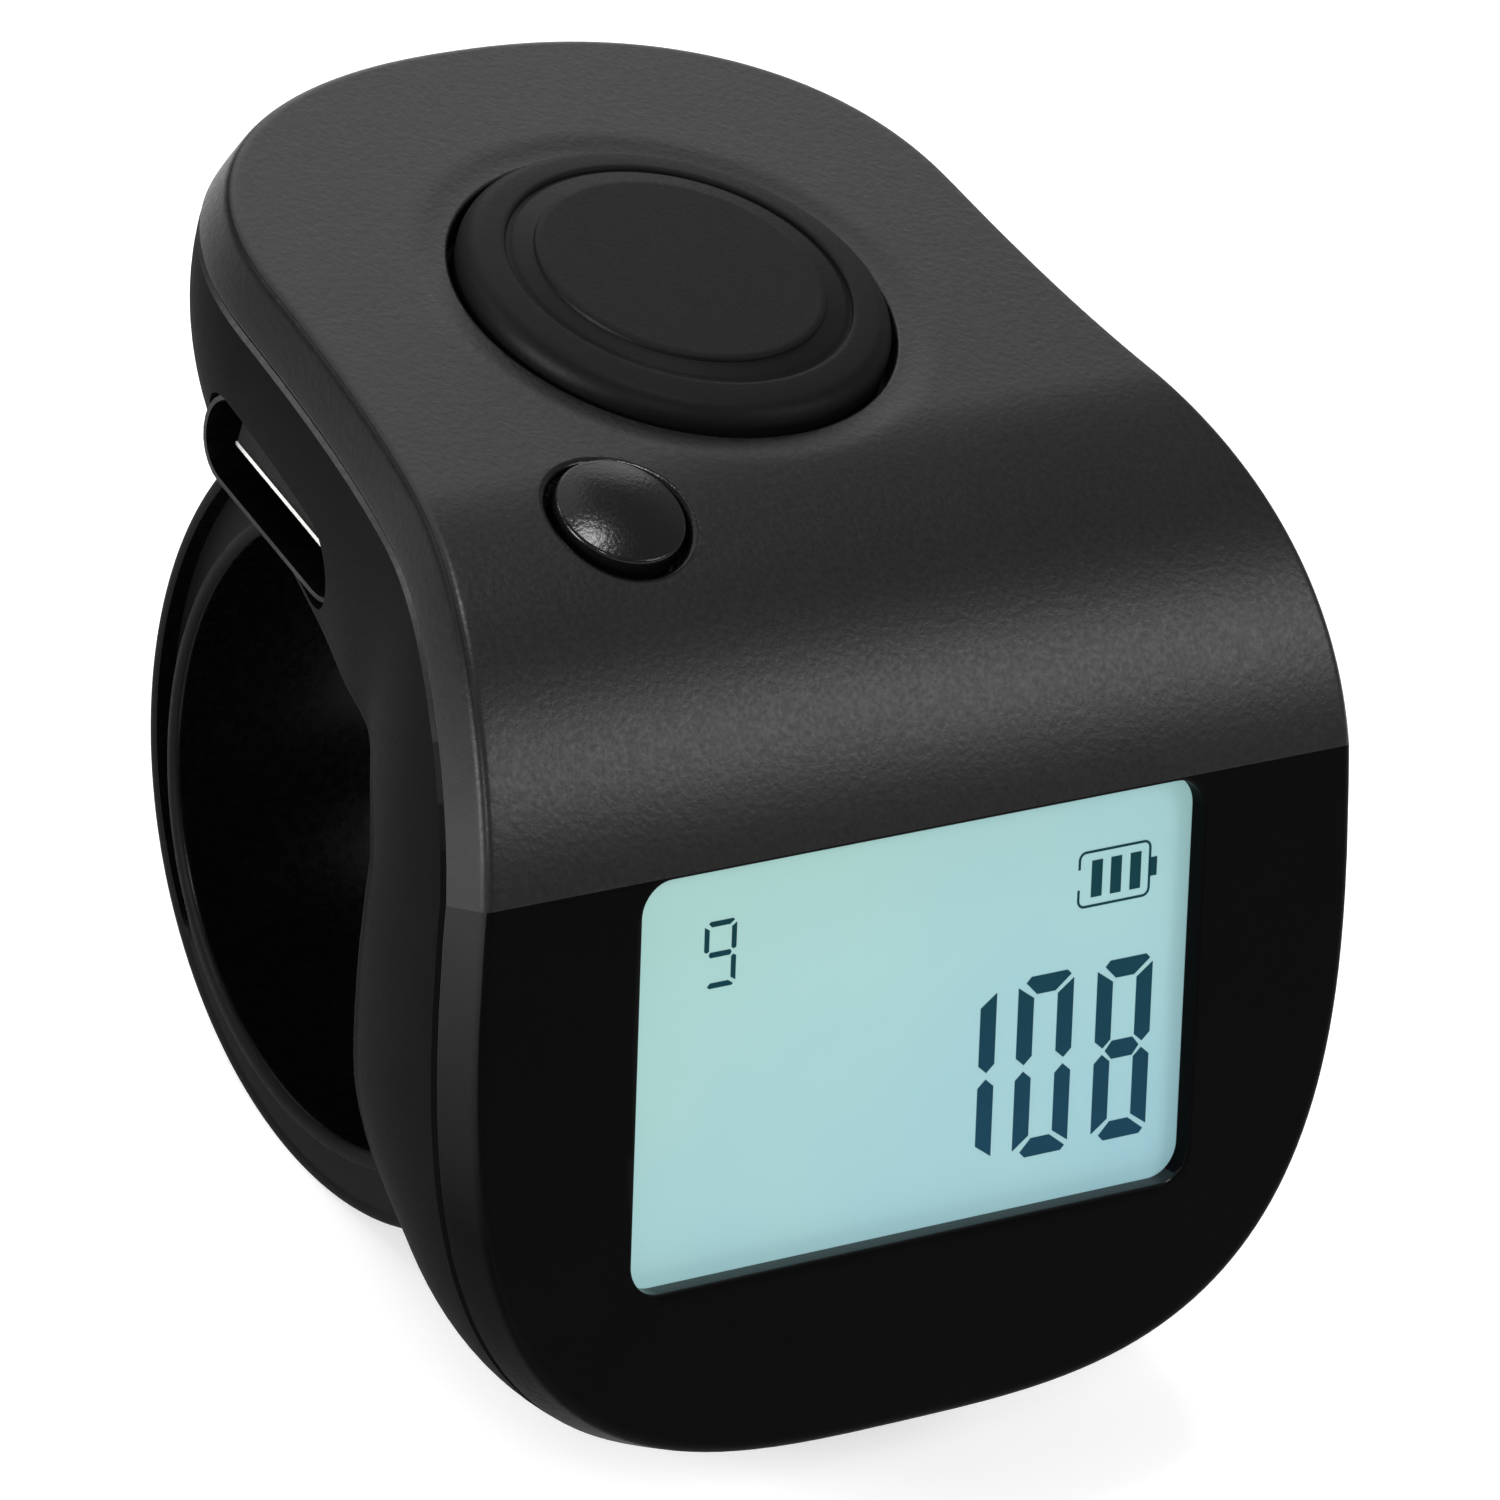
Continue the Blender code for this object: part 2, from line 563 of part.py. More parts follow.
def make_inner_shell():
    """Finger-side shell: hull-shaped sides and a floor that follows the finger hole."""
    seam = SEAM_DEPTH + SEAM_GAP
    loops = []
    for step in range(HULL_STEPS, -1, -1):
        loops.append(hull_level(step / HULL_STEPS, SIDE_WALL, seam, -FLOOR_WALL))
    for step in range(HULL_STEPS + 1):
        loops.append(hull_level(step / HULL_STEPS, 0.0, seam, -FINGER_EDGE))
    loops.append(hull_level(1.0, FINGER_EDGE, seam, 0.0))
    mesh = bmesh.new()
    housing_solid(mesh, loops)
    shell = finish("inner_shell", mesh, material("black_abs_inner", (0.03, 0.03, 0.033), 0.55))

    slot = bmesh.new()
    half_y = SOCKET_WIDTH / 2.0 + SLOT_GAP
    half_z = SOCKET_HEIGHT / 2.0 + SLOT_GAP
    outline = shifted(rounded_rectangle(half_y, half_z, half_z * 0.98, 8), SOCKET_Y, SOCKET_Z)
    mouth = socket_mouth()
    add_prism(slot, outline, mouth - 3.0 * SIDE_WALL, mouth + SOCKET_LENGTH + SLOT_GAP, 'X')
    combine(shell, slot, 'DIFFERENCE', "socket_slot")
    slots = bmesh.new()
    half_x = TAB_HALF_WIDTH + TAB_GAP
    half_tab = TAB_THICKNESS / 2.0 + TAB_GAP
    add_box(slots, (-half_x, REAR_TAB_Y - half_tab, FINGER_RADIUS - FLOOR_WALL),
            (half_x, REAR_TAB_Y + half_tab, FLOOR_Z + FLOOR_WALL))
    wall_y = front_wall_y()
    add_box(slots, (-half_x, wall_y - 2.5 * FLOOR_WALL, FRONT_TAB_Z - half_tab),
            (half_x, wall_y + FLOOR_WALL, FRONT_TAB_Z + half_tab))
    combine(shell, slots, 'DIFFERENCE', "tab_slots")


def front_wall_y():
    """Where the front limb's finger side stands at the height of the front tab."""
    along = BEND_LENGTH
    while profile_point(along, finger_depth(along))[1] > FRONT_TAB_Z:
        along += 0.02 * MM
    return profile_point(along, finger_depth(along))[0]


def make_finger_band():
    """Open band under the finger, with a hooked tab into each limb of the housing."""
    outline = []
    for step in range(BAND_STEPS + 1):
        angle = BAND_TOP_END + (BAND_FRONT_END - BAND_TOP_END) * step / BAND_STEPS
        outline.append((BAND_OUTER_Y + BAND_OUTER_RADIUS * math.cos(angle),
                        BAND_OUTER_Z + BAND_OUTER_RADIUS * math.sin(angle)))
    for step in range(BAND_STEPS, -1, -1):
        angle = BAND_TOP_END + (BAND_FRONT_END - BAND_TOP_END) * step / BAND_STEPS
        outline.append((FINGER_RADIUS * math.cos(angle), FINGER_RADIUS * math.sin(angle)))
    mesh = bmesh.new()
    add_prism(mesh, outline, -BAND_HALF_WIDTH, BAND_HALF_WIDTH, 'X')
    band = finish("finger_band", mesh, material("black_band", (0.02, 0.02, 0.021), 0.4))

    room = bmesh.new()
    housing_solid(room, [hull_level(share, -BAND_GAP, 0.0, BAND_GAP) for share in (0.0, 0.5, 1.0)])
    combine(band, room, 'DIFFERENCE', "housing_room")
    tabs = bmesh.new()
    half = TAB_THICKNESS / 2.0
    hook = FLOOR_Z + TAB_GAP
    low = FINGER_RADIUS - 1.6 * TAB_THICKNESS
    outline = [(REAR_TAB_Y - half, low), (REAR_TAB_Y + half, low),
               (REAR_TAB_Y + half, hook), (REAR_TAB_Y + half + TAB_HOOK, hook),
               (REAR_TAB_Y + half, hook + 1.4 * TAB_HOOK), (REAR_TAB_Y - half, hook + 1.4 * TAB_HOOK)]
    add_prism(tabs, outline, -TAB_HALF_WIDTH, TAB_HALF_WIDTH, 'X')
    wall_y = front_wall_y()
    hook = wall_y - 1.35 * FLOOR_WALL - TAB_GAP
    root = wall_y + 1.2 * TAB_THICKNESS
    outline = [(root, FRONT_TAB_Z - half), (root, FRONT_TAB_Z + half),
               (hook, FRONT_TAB_Z + half), (hook, FRONT_TAB_Z + half + TAB_HOOK),
               (hook - 1.4 * TAB_HOOK, FRONT_TAB_Z + half), (hook - 1.4 * TAB_HOOK, FRONT_TAB_Z - half)]
    add_prism(tabs, outline, -TAB_HALF_WIDTH, TAB_HALF_WIDTH, 'X')
    combine(band, tabs, 'UNION', "band_tabs")


def make_count_button():
    """Large round key with a raised centre, a retaining lip and a post over its switch."""
    lip = COUNT_RADIUS + KEY_GAP + KEY_LIP / 2.0
    round_height = COUNT_SHOULDER * 0.9
    wall = COUNT_RADIUS - KEY_LIP
    profile = [(0.0, COUNT_HEIGHT), (COUNT_PLATEAU_RADIUS, COUNT_HEIGHT),
               (COUNT_CREASE_RADIUS, COUNT_SHOULDER)]
    for step in range(4):
        angle = math.pi / 2.0 * step / 3.0
        radius = COUNT_RADIUS - round_height * (1.0 - math.sin(angle))
        profile.append((radius, round_height * math.cos(angle)))
    profile += [(COUNT_RADIUS, -OUTER_WALL - KEY_SEAT_GAP), (lip, -OUTER_WALL - KEY_SEAT_GAP),
                (lip, -KEY_BACK), (wall, -KEY_BACK), (wall, COUNT_SHOULDER - KEY_SKIN),
                (COUNT_POST_RADIUS, COUNT_SHOULDER - KEY_SKIN), (COUNT_POST_RADIUS, -KEY_BACK),
                (0.0, -KEY_BACK)]
    mesh = bmesh.new()
    add_turned(mesh, profile)
    look = material("charcoal_key", (0.028, 0.029, 0.031), 0.5)
    finish("count_button", mesh, look, Matrix.Translation((0.0, COUNT_Y, TOP_Z)))


def make_reset_button():
    """Small domed key with a lip and a short post over its switch."""
    axis = reset_matrix()
    lip = RESET_RADIUS + KEY_GAP + KEY_LIP / 2.0
    post_end = (axis.translation.z - small_stem_top() - BOARD_GAP) / math.cos(RESET_TILT)
    post_end -= RESET_POST_RADIUS * math.tan(RESET_TILT)
    profile = [(0.0, RESET_HEIGHT)]
    for step in range(1, 5):
        share = step / 5.0
        profile.append((RESET_RADIUS * share, RESET_HEIGHT * (1.0 - 0.35 * share ** 2.5)))
    profile += [(RESET_RADIUS * 0.97, RESET_HEIGHT * 0.45), (RESET_RADIUS, RESET_HEIGHT * 0.2),
                (RESET_RADIUS, -OUTER_WALL - KEY_SEAT_GAP), (lip, -OUTER_WALL - KEY_SEAT_GAP),
                (lip, -KEY_BACK + 0.3 * LIP_THICKNESS),
                (RESET_POST_RADIUS, -KEY_BACK + 0.3 * LIP_THICKNESS),
                (RESET_POST_RADIUS, -post_end), (0.0, -post_end)]
    mesh = bmesh.new()
    add_turned(mesh, profile, 32)
    finish("reset_button", mesh, material("gloss_key", (0.03, 0.03, 0.032), 0.2), axis)


def make_key_board():
    """Circuit board under the keys, rounded at the rear like the cavity."""
    half = key_board_half_width()
    reach = KEY_BOARD_REAR - REAR_Y
    outline = [(half, KEY_BOARD_FRONT + KEY_BOARD_CHAMFER)]
    for step in range(END_STEPS + 1):
        angle = math.pi * step / END_STEPS
        side = math.copysign(abs(math.cos(angle)) ** (2.0 / REAR_POWER), math.cos(angle))
        rise = abs(math.sin(angle)) ** (2.0 / REAR_POWER)
        outline.append((half * side, REAR_Y + reach * rise))
    outline += [(-half, KEY_BOARD_FRONT + KEY_BOARD_CHAMFER),
                (-half + KEY_BOARD_CHAMFER, KEY_BOARD_FRONT),
                (half - KEY_BOARD_CHAMFER, KEY_BOARD_FRONT)]
    mesh = bmesh.new()
    add_prism(mesh, outline, KEY_BOARD_BASE, KEY_BOARD_TOP, 'Z')
    board = finish("key_board", mesh, material("green_board", (0.02, 0.12, 0.05), 0.45))
    holes = bmesh.new()
    for place in key_screw_places():
        add_cylinder(holes, SCREW_RADIUS + SCREW_GAP, KEY_BOARD_BASE - BOARD_GAP,
                     KEY_BOARD_TOP + BOARD_GAP, place, SMALL_STEPS)
    combine(board, holes, 'DIFFERENCE', "key_board_holes")


def make_switch(name, place, size, height, stem_radius, stem_top, look_body, look_stem):
    """Tact switch: a body with a round well and a stem that slides in it."""
    base = KEY_BOARD_TOP + BOARD_GAP
    mesh = bmesh.new()
    half = size / 2.0
    add_box(mesh, (-half, -half, base), (half, half, base + height))
    body = finish(name + "_body", mesh, look_body, Matrix.Translation((*place, 0.0)))
    well = bmesh.new()
    add_cylinder(well, stem_radius + STEM_WALL_GAP, base + STEM_FLOOR, base + 2.0 * height,
                 segments=SMALL_STEPS)
    combine(body, well, 'DIFFERENCE', name + "_well", Matrix.Translation((*place, 0.0)))
    mesh = bmesh.new()
    travel_room = max(COUNT_TRAVEL, RESET_TRAVEL) + BOARD_GAP / 2.0
    length = stem_top - (base + STEM_FLOOR + travel_room)
    add_cylinder(mesh, stem_radius, -length, 0.0, segments=SMALL_STEPS)
    finish(name + "_stem", mesh, look_stem, Matrix.Translation((*place, stem_top)))


def make_socket():
    """Charging socket: a steel shell and the insulator with its contact tongue."""
    def tube_outline(margin):
        half_y = SOCKET_WIDTH / 2.0 - margin
        half_z = SOCKET_HEIGHT / 2.0 - margin
        return shifted(rounded_rectangle(half_y, half_z, half_z * 0.98, 6), SOCKET_Y, SOCKET_Z)
    mouth = socket_mouth()
    back = mouth + SOCKET_LENGTH
    mesh = bmesh.new()
    add_prism(mesh, tube_outline(0.0), mouth, back, 'X')
    shell = finish("usb_shell", mesh, material("steel_socket", (0.6, 0.6, 0.6), 0.3, 1.0))
    bore = bmesh.new()
    add_prism(bore, tube_outline(SOCKET_WALL), mouth - SOCKET_WALL, back - SOCKET_WALL, 'X')
    combine(shell, bore, 'DIFFERENCE', "usb_bore")
    block_back = back - SOCKET_WALL - BOARD_GAP
    mesh = bmesh.new()
    add_prism(mesh, tube_outline(SOCKET_WALL + BOARD_GAP), block_back - SOCKET_BLOCK, block_back, 'X')
    tongue = finish("usb_tongue", mesh, material("black_insulator", (0.015, 0.015, 0.015), 0.5))
    blade = bmesh.new()
    half_y = TONGUE_WIDTH / 2.0
    half_z = TONGUE_THICKNESS / 2.0
    add_box(blade, (mouth + TONGUE_RECESS, SOCKET_Y - half_y, SOCKET_Z - half_z),
            (block_back - SOCKET_BLOCK / 2.0, SOCKET_Y + half_y, SOCKET_Z + half_z))
    combine(tongue, blade, 'UNION', "usb_blade")


def make_battery():
    """Pouch cell taped to the floor, and its two leads to the key board."""
    left, right = battery_sides()
    middle_x = (left + right) / 2.0
    middle_y = (BATTERY_FRONT + BATTERY_REAR) / 2.0
    half_x = (right - left) / 2.0
    half_y = (BATTERY_REAR - BATTERY_FRONT) / 2.0
    tape_base = FLOOR_Z + BOARD_GAP
    tape_top = tape_base + TAPE_THICKNESS
    base = tape_top + BOARD_GAP
    mesh = bmesh.new()
    outline = shifted(rounded_rectangle(half_x, half_y, BATTERY_CORNER, 3), middle_x, middle_y)
    add_prism(mesh, outline, base, base + BATTERY_THICKNESS, 'Z')
    finish("battery_cell", mesh, material("silver_pouch", (0.5, 0.5, 0.52), 0.35, 0.6))
    mesh = bmesh.new()
    add_box(mesh, (left + TAPE_MARGIN, BEND_START, tape_base),
            (right - TAPE_MARGIN, BATTERY_REAR - TAPE_MARGIN, tape_top))
    finish("battery_tape", mesh, material("white_tape", (0.7, 0.7, 0.68), 0.7))
    lead_z = base + BATTERY_THICKNESS / 2.0
    turn = KEY_BOARD_BASE - BOARD_GAP - lead_z
    names = ("battery_lead_red", "battery_lead_black")
    colours = ((0.5, 0.02, 0.02), (0.02, 0.02, 0.02))
    for name, colour, x in zip(names, colours, LEAD_PLACES):
        start = BATTERY_FRONT - BOARD_GAP
        points = [(x, start, lead_z), (x, start - LEAD_LOOP + turn, lead_z)]
        for step in range(1, 7):
            angle = math.pi / 2.0 * step / 6.0
            points.append((x, start - LEAD_LOOP + turn - turn * math.sin(angle),
                           lead_z + turn * (1.0 - math.cos(angle))))
        make_tube(name, points, LEAD_RADIUS, material(name + "_sleeve", colour, 0.4))


def make_tube(name, points, radius, look):
    """Round tube along the points."""
    curve = bpy.data.curves.new(name, 'CURVE')
    curve.dimensions = '3D'
    curve.bevel_depth = radius
    curve.bevel_resolution = 2
    curve.use_fill_caps = True
    line = curve.splines.new('POLY')
    line.points.add(len(points) - 1)
    for target, point in zip(line.points, points):
        target.co = (*point, 1.0)
    curve.materials.append(look)
    bpy.context.scene.collection.objects.link(bpy.data.objects.new(name, curve))


def make_display():
    """Display stack behind the window: film, glass, contact strip, light panel and frame."""
    frame = front_matrix()
    half = CELL_HALF_WIDTH
    mesh = bmesh.new()
    add_front_box(mesh, -half, half, WINDOW_TOP - CELL_BOTTOM_OVERLAP / 2.0, CELL_BOTTOM,
                  FILM_DEPTH, FILM_DEPTH + FILM_THICKNESS)
    finish("lcd_front_film", mesh, material("pale_film", (0.4, 0.66, 0.66), 0.25), frame)
    mesh = bmesh.new()
    add_front_box(mesh, -half, half, CELL_TOP, CELL_BOTTOM, CELL_DEPTH, CELL_BACK)
    finish("lcd_glass", mesh, material("display_glass", (0.45, 0.6, 0.58), 0.1), frame)
    mesh = bmesh.new()
    add_front_box(mesh, -STRIP_LENGTH / 2.0, STRIP_LENGTH / 2.0, STRIP_TOP, STRIP_BOTTOM,
                  FRAME_DEPTH, FRAME_BACK)
    finish("contact_strip", mesh, material("grey_elastomer", (0.2, 0.2, 0.22), 0.6), frame)
    light_left = PANEL_HALF_WIDTH - LIGHT_LENGTH
    mesh = bmesh.new()
    add_front_box(mesh, -PANEL_HALF_WIDTH, light_left - DISPLAY_GAP, PANEL_TOP,
                  CELL_BOTTOM - DISPLAY_GAP, FRAME_DEPTH, FRAME_BACK)
    finish("backlight_panel", mesh, material("milky_acrylic", (0.75, 0.8, 0.8), 0.3), frame)
    look = material("white_led", (0.8, 0.8, 0.7), 0.3)
    for number, share in enumerate((0.25, 0.75), 1):
        down = PANEL_TOP + (CELL_BOTTOM - PANEL_TOP) * share
        mesh = bmesh.new()
        add_front_box(mesh, light_left, PANEL_HALF_WIDTH, down - LIGHT_WIDTH / 2.0,
                      down + LIGHT_WIDTH / 2.0, FRAME_DEPTH, FRAME_BACK)
        finish(f"backlight_led_{number}", mesh, look, frame)

    outer = half + DISPLAY_GAP
    mesh = bmesh.new()
    add_front_box(mesh, -outer, outer, CELL_TOP - FRAME_RIM, CELL_BOTTOM + FRAME_RIM,
                  FRAME_DEPTH, FRAME_BACK)
    holder = finish("lcd_frame", mesh, material("white_frame", (0.6, 0.6, 0.6), 0.5), frame)
    rooms = bmesh.new()
    add_front_box(rooms, -STRIP_LENGTH / 2.0 - DISPLAY_GAP, STRIP_LENGTH / 2.0 + DISPLAY_GAP,
                  STRIP_TOP - DISPLAY_GAP, STRIP_BOTTOM + DISPLAY_GAP,
                  FRAME_DEPTH - DISPLAY_GAP, FRAME_BACK + DISPLAY_GAP)
    add_front_box(rooms, -half, half, PANEL_TOP - DISPLAY_GAP, CELL_BOTTOM,
                  FRAME_DEPTH - DISPLAY_GAP, FRAME_BACK + DISPLAY_GAP)
    combine(holder, rooms, 'DIFFERENCE', "lcd_frame_rooms", frame)


def make_display_board():
    """Circuit board behind the display, with its moulded-over controller chip."""
    frame = front_matrix()
    mesh = bmesh.new()
    add_front_box(mesh, -DISPLAY_BOARD_HALF_WIDTH, DISPLAY_BOARD_HALF_WIDTH, DISPLAY_BOARD_TOP,
                  DISPLAY_BOARD_BOTTOM, DISPLAY_BOARD_DEPTH, DISPLAY_BOARD_BACK)
    look = material("green_display_board", (0.02, 0.12, 0.05), 0.45)
    board = finish("display_board", mesh, look, frame)
    holes = bmesh.new()
    for side in (-1.0, 1.0):
        for down in DISPLAY_SCREW_DOWN:
            add_cylinder(holes, SCREW_RADIUS + SCREW_GAP, -DISPLAY_BOARD_BACK - DISPLAY_GAP,
                         -DISPLAY_BOARD_DEPTH + DISPLAY_GAP, (side * DISPLAY_SCREW_X, -down),
                         SMALL_STEPS)
    combine(board, holes, 'DIFFERENCE', "display_board_holes", frame)
    top = -DISPLAY_BOARD_BACK - DISPLAY_GAP
    profile = [(0.0, top), (CHIP_RADIUS, top)]
    for step in range(1, 5):
        angle = math.pi / 2.0 * step / 5.0
        profile.append((CHIP_RADIUS * math.cos(angle), top - CHIP_HEIGHT * math.sin(angle)))
    profile.append((0.0, top - CHIP_HEIGHT))
    mesh = bmesh.new()
    add_turned(mesh, profile, 24)
    look = material("black_epoxy", (0.015, 0.015, 0.015), 0.35)
    finish("controller_chip", mesh, look, frame @ Matrix.Translation((0.0, -CHIP_DOWN, 0.0)))


def make_screws():
    """Board screws, each its own piece: three in the key board and four in the display board."""
    look = material("zinc_screw", (0.5, 0.5, 0.5), 0.35, 1.0)
    length = KEY_BOARD_THICKNESS + 2.0 * BOARD_GAP + SCREW_BITE
    for number, (x, y) in enumerate(key_screw_places(), 1):
        place = Matrix.Translation((x, y, KEY_BOARD_BASE - BOARD_GAP))
        make_screw(f"key_board_screw_{number}", place, length, look)
    length = DISPLAY_BOARD_THICKNESS + 2.0 * DISPLAY_GAP + SCREW_BITE
    number = 0
    for side in (-1.0, 1.0):
        for down in DISPLAY_SCREW_DOWN:
            number += 1
            place = (side * DISPLAY_SCREW_X, -down, -DISPLAY_BOARD_BACK - DISPLAY_GAP)
            matrix = front_matrix() @ Matrix.Translation(place)
            make_screw(f"display_board_screw_{number}", matrix, length, look)


def make_screw(name, matrix, length, look):
    """Pan-head screw whose shank points along local +Z from the seat of its head."""
    mesh = bmesh.new()
    add_turned(mesh, [(0.0, -SCREW_HEAD_HEIGHT), (SCREW_HEAD_RADIUS * 0.7, -SCREW_HEAD_HEIGHT),
                      (SCREW_HEAD_RADIUS, -SCREW_HEAD_HEIGHT * 0.6), (SCREW_HEAD_RADIUS, 0.0),
                      (SCREW_RADIUS, 0.0), (SCREW_RADIUS, length - SCREW_RADIUS),
                      (SCREW_RADIUS * 0.4, length), (0.0, length)], SMALL_STEPS)
    finish(name, mesh, look, matrix)


def make_wiring():
    """Flat ribbon that joins the two boards round the inside of the bend."""
    frame = front_matrix()
    lap_z = -(DISPLAY_BOARD_BACK + DISPLAY_GAP + RIBBON_THICKNESS / 2.0)
    low = frame @ Vector((0.0, -DISPLAY_BOARD_TOP - RIBBON_LAP, lap_z))
    edge = frame @ Vector((0.0, -DISPLAY_BOARD_TOP, lap_z))
    lap_top = KEY_BOARD_BASE - BOARD_GAP - RIBBON_THICKNESS / 2.0
    high = Vector((0.0, KEY_BOARD_FRONT + RIBBON_LAP, lap_top))
    start = Vector((0.0, KEY_BOARD_FRONT, lap_top))
    up = (edge - low).normalized()
    reach = (start - edge).length * 0.45
    path = [low, edge]
    for step in range(1, 8):
        t = step / 8.0
        first = edge + up * reach
        second = start - Vector((0.0, reach, 0.0))
        path.append(edge * (1 - t) ** 3 + first * 3 * t * (1 - t) ** 2
                    + second * 3 * t * t * (1 - t) + start * t ** 3)
    path += [start, high]
    upper = []
    lower = []
    for index, point in enumerate(path):
        before = path[max(index - 1, 0)]
        after = path[min(index + 1, len(path) - 1)]
        tangent = (after - before).normalized()
        normal = Vector((0.0, -tangent.z, tangent.y)) * (RIBBON_THICKNESS / 2.0)
        upper.append(((point + normal).y, (point + normal).z))
        lower.append(((point - normal).y, (point - normal).z))
    mesh = bmesh.new()
    add_prism(mesh, upper + lower[::-1], RIBBON_LEFT, RIBBON_RIGHT, 'X')
    finish("board_ribbon", mesh, material("amber_ribbon", (0.35, 0.15, 0.03), 0.4))


def make_board_parts():
    """Charger chip and a row of capacitors on the key board."""
    base = KEY_BOARD_TOP + BOARD_GAP
    half = CHARGER_SIZE / 2.0
    y = BEND_START - CHARGER_LEAD
    mesh = bmesh.new()
    add_box(mesh, (CHARGER_X - half, y - half, base),
            (CHARGER_X + half, y + half, base + CHARGER_HEIGHT))
    finish("charger_chip", mesh, material("black_chip", (0.02, 0.02, 0.02), 0.5))
    look = material("tan_ceramic", (0.4, 0.25, 0.15), 0.5)
    for index in range(CAPACITOR_COUNT):
        x = CAPACITOR_START_X + index * CAPACITOR_PITCH
        place = (x, BEND_START - CAPACITOR_LEAD, base)
        mesh = bmesh.new()
        add_box(mesh, (-CAPACITOR_WIDTH / 2.0, -CAPACITOR_LENGTH / 2.0, 0.0),
                (CAPACITOR_WIDTH / 2.0, CAPACITOR_LENGTH / 2.0, CAPACITOR_HEIGHT))
        finish(f"capacitor_{index + 1}", mesh, look, Matrix.Translation(place))


def main():
    """Build every piece."""
    for old in list(bpy.data.objects):
        bpy.data.objects.remove(old, do_unlink=True)
    make_outer_shell()
    make_inner_shell()
    make_finger_band()
    make_count_button()
    make_reset_button()
    make_key_board()
    make_switch("count_switch", (0.0, COUNT_Y), SWITCH_SIZE, SWITCH_HEIGHT, SWITCH_STEM_RADIUS,
                STEM_TOP_Z, material("switch_case", (0.1, 0.1, 0.1), 0.5),
                material("switch_stem", (0.25, 0.25, 0.27), 0.4))
    make_switch("reset_switch", small_switch_place(), SMALL_SWITCH_SIZE, SMALL_SWITCH_HEIGHT,
                SMALL_STEM_RADIUS, small_stem_top(), material("small_case", (0.1, 0.1, 0.1), 0.5),
                material("small_stem", (0.25, 0.25, 0.27), 0.4))
    make_socket()
    make_battery()
    make_display()
    make_display_board()
    make_screws()
    make_wiring()
    make_board_parts()


main()
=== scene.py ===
import math

import bmesh
import bpy
from mathutils import Matrix, Vector


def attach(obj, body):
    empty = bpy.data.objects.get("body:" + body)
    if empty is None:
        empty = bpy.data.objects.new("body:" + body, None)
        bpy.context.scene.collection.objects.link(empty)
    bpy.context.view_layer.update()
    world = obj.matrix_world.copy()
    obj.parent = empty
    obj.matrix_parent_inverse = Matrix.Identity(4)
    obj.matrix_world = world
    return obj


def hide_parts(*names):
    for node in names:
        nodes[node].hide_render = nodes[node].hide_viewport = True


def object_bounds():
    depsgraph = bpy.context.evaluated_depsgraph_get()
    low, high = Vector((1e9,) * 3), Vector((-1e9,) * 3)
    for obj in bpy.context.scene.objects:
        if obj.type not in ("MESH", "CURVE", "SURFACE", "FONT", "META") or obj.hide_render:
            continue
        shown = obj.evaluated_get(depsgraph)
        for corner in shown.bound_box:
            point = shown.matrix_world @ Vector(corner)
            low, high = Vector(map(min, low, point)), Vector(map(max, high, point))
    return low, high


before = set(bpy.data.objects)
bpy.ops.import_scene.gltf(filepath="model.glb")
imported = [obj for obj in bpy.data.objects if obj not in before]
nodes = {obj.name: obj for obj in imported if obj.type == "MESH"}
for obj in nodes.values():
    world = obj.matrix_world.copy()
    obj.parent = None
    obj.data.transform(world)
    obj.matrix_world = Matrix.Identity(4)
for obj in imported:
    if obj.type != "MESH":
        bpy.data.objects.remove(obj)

cadLow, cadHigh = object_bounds()
toMetres = Matrix.Scale(0.001, 4)  # shapes are made in mm and shrunk once at the end


# small tools

def linear(hexColour):
    # sRGB hex to the linear values that Blender's sockets take
    parts = [int(hexColour[i:i + 2], 16) / 255.0 for i in (1, 3, 5)]
    return (*[c / 12.92 if c <= 0.04045 else ((c + 0.055) / 1.055) ** 2.4 for c in parts], 1.0)


def addNode(tree, kind, settings=None, **links):
    # one node: settings starting with a capital are sockets, the others are properties
    node = tree.nodes.new(kind)
    for key, value in (settings or {}).items():
        if isinstance(key, int) or key[0].isupper():
            node.inputs[key].default_value = value
        else:
            setattr(node, key, value)
    for key, source in links.items():
        numbered = key[0] == "i" and key[1:].isdigit()  # i0 is the first input, other links go by name
        socket = int(key[1:]) if numbered else key.replace("_", " ")
        tree.links.new(source, node.inputs[socket])
    return node


def newMaterial(name):
    made = bpy.data.materials.new(name)
    made.use_nodes = True
    return made, made.node_tree, made.node_tree.nodes["Principled BSDF"]


def makeObject(name, shape):
    data = bpy.data.meshes.new(name)
    shape.to_mesh(data)
    shape.free()
    made = bpy.data.objects.new(name, data)
    bpy.context.scene.collection.objects.link(made)
    return made


def carve(piece, tool, operation="DIFFERENCE"):
    # boolean with a throwaway tool, applied at once
    cutter = makeObject("tool", tool)
    step = piece.modifiers.new("carve", "BOOLEAN")
    step.operation, step.solver, step.object = operation, "EXACT", cutter
    bpy.context.view_layer.update()
    result = bpy.data.meshes.new_from_object(piece.evaluated_get(bpy.context.evaluated_depsgraph_get()))
    piece.modifiers.clear()
    old = piece.data
    piece.data = result
    result.name = old.name
    bpy.data.meshes.remove(old)
    bpy.data.objects.remove(cutter)


def handOver(piece, body, look, replaced=(), sharpAngle=32.0):
    # shrink to metres, shade, dress and hang on its body
    piece.data.transform(toMetres)
    piece.data.shade_smooth()
    piece.data.set_sharp_from_angle(angle=math.radians(sharpAngle))
    piece.data.materials.clear()
    piece.data.materials.append(look)
    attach(piece, body)
    if replaced:
        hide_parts(*replaced)
    print("made", piece.name, len(piece.data.polygons), "faces")


